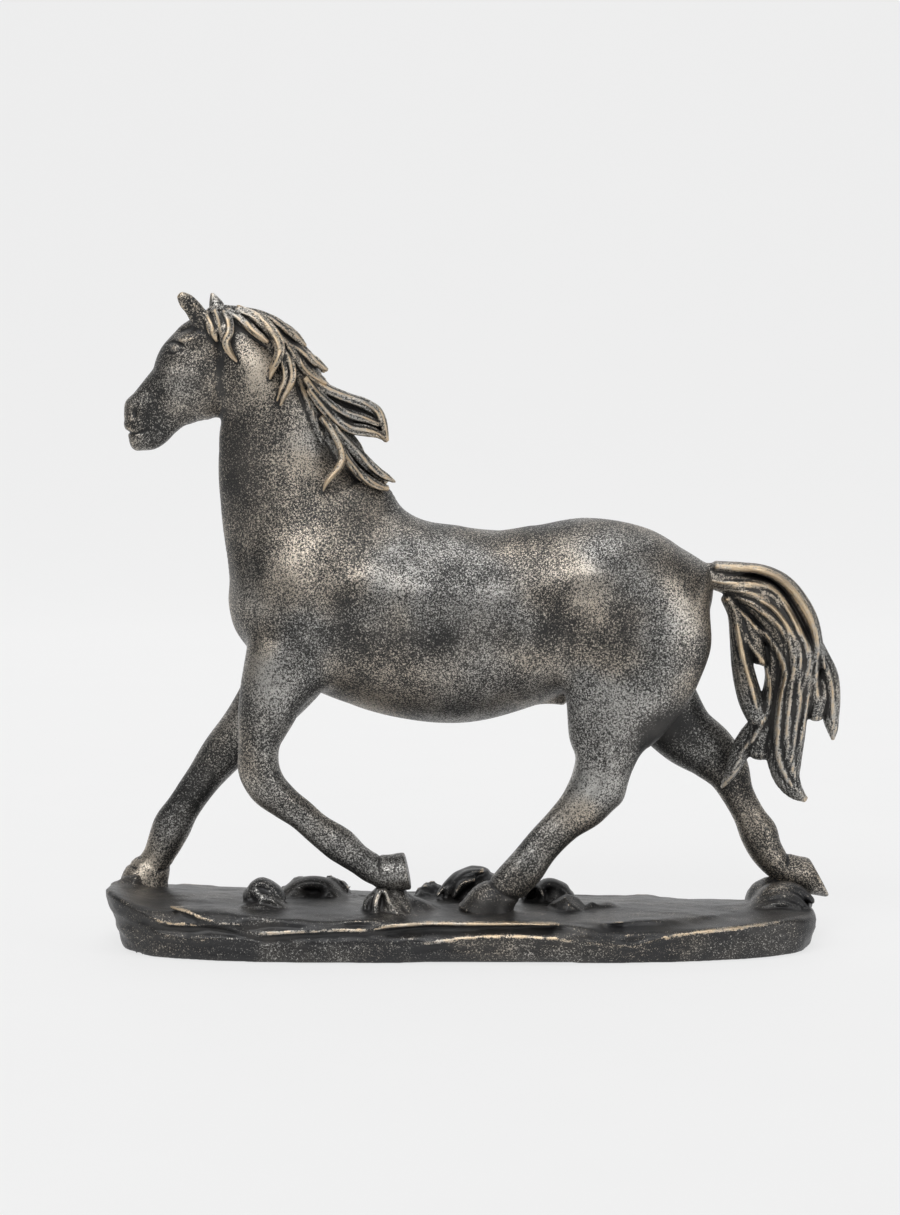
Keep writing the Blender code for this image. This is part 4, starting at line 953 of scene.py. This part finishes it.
class Nodes:
    """Short calls for a material's node tree."""

    def __init__(self, name):
        self.material = bpy.data.materials.new(name)
        self.material.use_nodes = True
        self.tree = self.material.node_tree
        self.shader = self.tree.nodes["Principled BSDF"]
        place = self.node("ShaderNodeTexCoord").outputs["Object"]
        self.mm = self.vector("MULTIPLY", place, (1000, 1000, 1000))

    def node(self, kind, **settings):
        made = self.tree.nodes.new(kind)
        for key, value in settings.items():
            setattr(made, key, value)
        return made

    def put(self, socket, value):
        if isinstance(value, bpy.types.NodeSocket):
            self.tree.links.new(value, socket)
        else:
            socket.default_value = value

    def attribute(self, name):
        return self.node("ShaderNodeAttribute", attribute_name=name).outputs["Fac"]

    def vector(self, operation, a, b):
        made = self.node("ShaderNodeVectorMath", operation=operation)
        self.put(made.inputs[0], a)
        self.put(made.inputs[1], b)
        return made.outputs[0]

    def math(self, operation, a, b=0.0, clamp=False):
        made = self.node("ShaderNodeMath", operation=operation, use_clamp=clamp)
        self.put(made.inputs[0], a)
        self.put(made.inputs[1], b)
        return made.outputs[0]

    def vary(self, value, noise, amount):
        """The value, up and down with a noise."""
        return self.math("ADD", self.math("MULTIPLY", self.math("SUBTRACT", noise, 0.5), amount), value)

    def noise(self, scale, detail=4.0, roughness=0.6, stretch=None):
        made = self.node("ShaderNodeTexNoise")
        self.put(made.inputs["Vector"], self.vector("MULTIPLY", self.mm, stretch) if stretch else self.mm)
        self.put(made.inputs["Scale"], scale)
        self.put(made.inputs["Detail"], detail)
        self.put(made.inputs["Roughness"], roughness)
        return made.outputs["Fac"]

    def step(self, value, low, high, to_low=0.0, to_high=1.0):
        made = self.node("ShaderNodeMapRange", interpolation_type="SMOOTHSTEP")
        for socket, number in zip(made.inputs, (value, low, high, to_low, to_high)):
            self.put(socket, number)
        return made.outputs[0]

    def mix(self, factor, a, b):
        made = self.node("ShaderNodeMix", data_type="RGBA")
        self.put(made.inputs[0], factor)
        self.put(made.inputs[6], a)
        self.put(made.inputs[7], b)
        return made.outputs[2]

    def bump(self, height, distance, strength, below=None):
        made = self.node("ShaderNodeBump")
        self.put(made.inputs["Strength"], strength)
        self.put(made.inputs["Distance"], distance)
        self.put(made.inputs["Height"], height)
        if below is not None:
            self.put(made.inputs["Normal"], below)
        return made.outputs[0]


# How far noise shifts the ridges and the coat, how thin the coat is in hollows, and how sharp a flake's edge is.
RIDGE_WANDER = 0.40
PATCH_DEPTH = 0.16
HOLLOW_DEPTH = 0.26
FLAKE_EDGE = (0.485, 0.565)


def cast_finish(name, base_colour, dark_rough, skin, hair=None):
    """Dark undercoat under a granular dry-brushed metallic coat, gold on raised edges.

    skin and hair are (cover, gold, low ridge, high ridge, ridge gain), for bare form and for combed locks.
    """
    n = Nodes(name)
    patches = n.noise(0.055, 4.0, 0.55)
    clouds = n.noise(0.018, 2.0, 0.5)
    wander = n.noise(0.35, 3.0, 0.6)
    if hair:
        haired = n.attribute("hair")
        cover, gold, low, high, gain = (n.step(haired, 0.0, 0.8, a, b) for a, b in zip(skin, hair))
    else:
        cover, gold, low, high, gain = skin
    ridge = n.vary(n.attribute("ridge"), wander, RIDGE_WANDER)
    raised = n.step(ridge, low, high)
    sunk = n.step(ridge, -0.03, -0.30)
    grain = n.noise(1.45, 5.0, 0.72)
    fine = n.noise(3.6, 3.0, 0.65)
    speck = n.math("ADD", n.math("MULTIPLY", grain, 0.66), n.math("MULTIPLY", fine, 0.34))
    # The coat attribute raises or lowers the coat, which lays in brush work together with painted highlights and
    # painted shade.
    level = n.vary(n.math("ADD", cover, n.attribute("coat_and_light")), patches, PATCH_DEPTH)
    level = n.math("ADD", level, n.math("MULTIPLY", raised, gain))
    level = n.math("SUBTRACT", level, n.math("MULTIPLY", sunk, HOLLOW_DEPTH))
    mask = n.step(n.math("ADD", speck, level), *FLAKE_EDGE)
    gilt = n.math("MULTIPLY", n.math("MULTIPLY", raised, gold), n.step(wander, 0.36, 0.60, 0.35, 1.0))
    warm = n.math("ADD", gilt, n.step(clouds, 0.44, 0.60, 0.0, 0.5), clamp=True)
    metal = n.mix(warm, (0.46, 0.455, 0.44, 1), (0.62, 0.47, 0.30, 1))
    metal = n.mix(n.step(fine, 0.40, 0.72, 0.0, 0.5), metal, (0.84, 0.80, 0.72, 1))
    under = n.mix(n.step(patches, 0.4, 0.65), base_colour, (0.040, 0.037, 0.034, 1))
    n.put(n.shader.inputs["Base Color"], n.mix(mask, under, metal))
    n.put(n.shader.inputs["Metallic"], n.step(mask, 0.0, 1.0, 0.25, 0.97))
    n.put(n.shader.inputs["Roughness"], n.vary(n.step(mask, 0.0, 1.0, dark_rough, 0.36), fine, 0.3))
    normal = n.bump(n.noise(0.16, 3.0, 0.5), 0.0012, 0.12, n.bump(speck, 0.00035, 0.45))
    if hair:
        lines = n.node("ShaderNodeCombineXYZ")
        n.put(lines.inputs["X"], n.math("MULTIPLY", n.attribute("flow"), 1.3))
        n.put(lines.inputs["Y"], n.math("MULTIPLY", wander, 2.5))
        streaks = n.node("ShaderNodeTexNoise")
        n.put(streaks.inputs["Vector"], lines.outputs[0])
        n.put(streaks.inputs["Scale"], 1.0)
        n.put(streaks.inputs["Detail"], 3.0)
        normal = n.bump(n.math("MULTIPLY", streaks.outputs["Fac"], haired), 0.0012, 0.6, normal)
    n.put(n.shader.inputs["Normal"], normal)
    return n.material


def steel_finish():
    n = Nodes("pin_steel")
    brushed = n.noise(0.9, 3.0, 0.6, (6, 6, 0.4))
    n.put(n.shader.inputs["Base Color"], n.mix(brushed, (0.46, 0.47, 0.48, 1), (0.66, 0.66, 0.65, 1)))
    n.shader.inputs["Metallic"].default_value = 1.0
    n.put(n.shader.inputs["Roughness"], n.step(brushed, 0.3, 0.7, 0.26, 0.46))
    n.put(n.shader.inputs["Normal"], n.bump(brushed, 0.0001, 0.3))
    return n.material


def felt_finish():
    n = Nodes("black_felt")
    fibres = n.noise(3.0, 6.0, 0.75, (1, 1, 0.5))
    tufts = n.noise(0.35, 3.0, 0.6)
    shade = n.mix(fibres, (0.010, 0.012, 0.010, 1), (0.050, 0.055, 0.050, 1))
    n.put(n.shader.inputs["Base Color"], n.mix(n.step(tufts, 0.4, 0.7, 0, 0.5), shade, (0.03, 0.03, 0.03, 1)))
    n.put(n.shader.inputs["Roughness"], n.step(fibres, 0.3, 0.7, 0.85, 1.0))
    n.shader.inputs["Sheen Weight"].default_value = 0.4
    n.put(n.shader.inputs["Normal"], n.bump(fibres, 0.0003, 0.6))
    return n.material


def floor_finish():
    n = Nodes("pale_floor")
    tooth = n.noise(0.02, 3.0, 0.5)
    n.put(n.shader.inputs["Base Color"], n.mix(tooth, (0.125, 0.125, 0.125, 1), (0.135, 0.135, 0.135, 1)))
    n.shader.inputs["Roughness"].default_value = 0.8
    n.shader.inputs["Specular IOR Level"].default_value = 0.2
    n.shader.inputs["Emission Color"].default_value = (1.0, 1.0, 1.0, 1)
    # The studio lamps fall off with distance, so the sheet glows a little less near them.
    split = n.node("ShaderNodeSeparateXYZ")
    n.put(split.inputs[0], n.mm)
    n.put(n.shader.inputs["Emission Strength"], n.step(split.outputs[1], -900, 1300, 0.705, 0.780))
    return n.material


# ---------------------------------------------------------------- the statue

bronze = (cast_finish("bronze_patina", (0.015, 0.0145, 0.014, 1), 0.44,
                      (-0.01, 0.5, 0.12, 0.50, 0.12), (0.002, 0.9, 0.09, 0.48, 0.155)), "bronze_finish")
# The base's undercoat is a shade lighter than the horse's, a painted sheen that stands in for the pale backdrop
# reflected in its top.
ground_bronze = (cast_finish("bronze_patina_ground", (0.020, 0.020, 0.021, 1), 0.36,
                             (-0.085, 0.75, 0.16, 0.50, 0.18)), "ground_finish")
steel, felt = steel_finish(), felt_finish()

body = Clay((-140, -38, 11), (153, 38, 190), BODY_STEP)
model_body(body)
model_legs(body)
points, quads = body.skin()
middles = points[quads].mean(axis=1)
free = beyond_cut(middles, NECK_CUT) < 0
sections = {}
for name, ((cx, cz), direction, half_width, side) in CUTS.items():
    along = np.array(direction) / np.hypot(*direction)
    off_axis = (middles[:, 0] - cx) * -along[1] + (middles[:, 2] - cz) * along[0]
    inside = free & (beyond_cut(middles, CUTS[name]) > 0) & (np.abs(off_axis) < half_width)
    inside &= middles[:, 1] * side > 0.2
    sections[name] = inside
    free &= ~inside

torso_points = snapped(points, quads[free], NECK_CUT)
add_piece("torso", body, torso_points, quads[free], bronze)
for name, inside in sections.items():
    add_piece(name, body, points, quads[inside], bronze)

crown = Clay((-142, -30, 138), (-18, 30, 263), HEAD_STEP, combed=True)
model_body(crown)
model_head(crown)
bare = crown.field.copy()
model_mane(crown)
crown.comb(1.9, 0.5, 3, bare)
points, quads = crown.skin()
middles = points[quads].mean(axis=1)
crown_side = beyond_cut(middles, NECK_CUT) > 0
head_side = crown_side & (beyond_cut(middles, HEAD_CUT) > 0) & (middles[:, 2] > 195)
neck_side = crown_side & ~head_side
neck_points = snapped(points, quads[neck_side], NECK_CUT)
add_piece("neck", crown, neck_points, quads[neck_side], bronze)
add_piece("head", crown, points, quads[head_side], bronze)

for name, fill, locks, low, high in (
    ("mane_lock_upper", UPPER_FILL, UPPER_FLIGHT, (-70, -19, 196), (-24, 19, 240)),
    ("mane_lock_lower", LOWER_FILL, LOWER_FLIGHT, (-60, -19, 178), (-22, 19, 218)),
):
    flight = Clay(low, high, HAIR_STEP, combed=True)
    model_flight(flight, fill, locks)
    flight.comb(1.9, 0.55, 5)
    add_piece(name, flight, *flight.skin(), bronze, hair=1.0)

tail = Clay((86, -18, 52), (156, 18, 160), HAIR_STEP, combed=True)
model_tail(tail)
tail.comb(2.1, 0.6, 7)
add_piece("tail", tail, *tail.skin(), bronze, hair=1.0)

ground = Clay((-149, -49, -1), (149, 49, 33), BASE_STEP)
model_ground(ground)
add_piece("ground_base", ground, *ground.skin(), ground_bronze, coat_and_light_patches=GROUND_COAT_AND_HIGHLIGHTS, name="ground_casting")

for name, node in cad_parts.items():
    finish = felt if name == "base_felt" else steel
    for material_slot in node.material_slots:
        material_slot.material = finish


# ---------------------------------------------------------------- studio

# The camera as the photograph was taken: degrees up, metres away, and its aim in X and Z from the statue's middle.
CAMERA_ELEVATION = 5.5
CAMERA_DISTANCE = 1.2
AIM_OFFSET = (-0.01045, 0.0054)
FOCAL_PIXELS = 3000.0
IMAGE_HEIGHT = 1215.0
SENSOR = 36.0
# The sheet in metres: its front edge, where its bend starts, the bend's radius, its top and half its width.
SHEET_FRONT, SHEET_BEND, SHEET_RADIUS, SHEET_TOP, SHEET_HALF = -3.0, 1.2, 0.9, 4.0, 4.0


def add_backdrop():
    """A pale sheet: floor under the statue that curves up far behind it."""
    bend = [(SHEET_BEND + SHEET_RADIUS * math.sin(a), SHEET_RADIUS * (1 - math.cos(a)))
            for a in np.linspace(0.1, math.pi / 2, 16)]
    profile = [(SHEET_FRONT, 0.0), (SHEET_BEND, 0.0), *bend, (SHEET_BEND + SHEET_RADIUS, SHEET_TOP)]
    across = np.linspace(-SHEET_HALF, SHEET_HALF, 9)
    vertices = [(x, y, z) for y, z in profile for x in across]
    count = len(across)
    faces = [
        (row * count + n, row * count + n + 1, (row + 1) * count + n + 1, (row + 1) * count + n)
        for row in range(len(profile) - 1) for n in range(count - 1)
    ]
    mesh = bpy.data.meshes.new("floor")
    mesh.from_pydata(vertices, [], faces)
    mesh.polygons.foreach_set("use_smooth", [True] * len(faces))
    mesh.materials.append(floor_finish())
    floor = bpy.data.objects.new("floor", mesh)
    bpy.context.scene.collection.objects.link(floor)


def add_surround():
    """A pale shell far outside, seen only by the camera, so that every view has a light backdrop."""
    n = Nodes("pale_surround")
    n.put(n.shader.inputs["Base Color"], n.mix(n.noise(0.001), (0.0, 0.0, 0.0, 1), (0.01, 0.01, 0.01, 1)))
    n.shader.inputs["Roughness"].default_value = 1.0
    n.shader.inputs["Emission Color"].default_value = (1.0, 1.0, 1.0, 1)
    n.shader.inputs["Emission Strength"].default_value = 0.84
    bpy.ops.mesh.primitive_uv_sphere_add(segments=48, ring_count=24, radius=9.0)
    shell = bpy.context.object
    shell.name = "surround"
    shell.data.materials.append(n.material)
    for kind in ("diffuse", "glossy", "transmission", "volume_scatter", "shadow"):
        setattr(shell, f"visible_{kind}", False)


def add_light(name, place, target, size, power):
    light = bpy.data.lights.new(name, "AREA")
    light.shape = "RECTANGLE"
    light.size, light.size_y = size
    light.energy = power
    made = bpy.data.objects.new(name, light)
    made.location = place
    made.rotation_euler = (Vector(target) - Vector(place)).to_track_quat("-Z", "Y").to_euler()
    bpy.context.scene.collection.objects.link(made)


add_backdrop()
add_surround()
centre = (Vector(cad_box[0]) + Vector(cad_box[1])) / 2
add_light("softbox_front", (-0.40, -1.03, 1.12), centre, (1.3, 0.6), 12.5)
add_light("softbox_top", (0.1, -0.1, 1.6), centre, (1.2, 0.7), 9)
add_light("softbox_right", (1.18, -0.76, 0.34), centre, (0.5, 1.0), 6)

world = bpy.data.worlds.new("studio")
bpy.context.scene.world = world
world.use_nodes = True
world.node_tree.nodes["Background"].inputs["Color"].default_value = (0.93, 0.96, 1.0, 1)
world.node_tree.nodes["Background"].inputs["Strength"].default_value = 0.10

camera = bpy.data.objects.new("camera", bpy.data.cameras.new("camera"))
bpy.context.scene.collection.objects.link(camera)
bpy.context.scene.camera = camera
elevation = math.radians(CAMERA_ELEVATION)
target = Vector((centre.x + AIM_OFFSET[0], 0.0, centre.z + AIM_OFFSET[1]))
back = Vector((0, -math.cos(elevation), math.sin(elevation)))
camera.location = target + back * CAMERA_DISTANCE
camera.rotation_euler = (-back).to_track_quat("-Z", "Y").to_euler()
camera.data.sensor_width = SENSOR
camera.data.lens = FOCAL_PIXELS / IMAGE_HEIGHT * SENSOR
camera.data.clip_start, camera.data.clip_end = 0.01, 50.0
bpy.context.scene.view_settings.view_transform = "Standard"
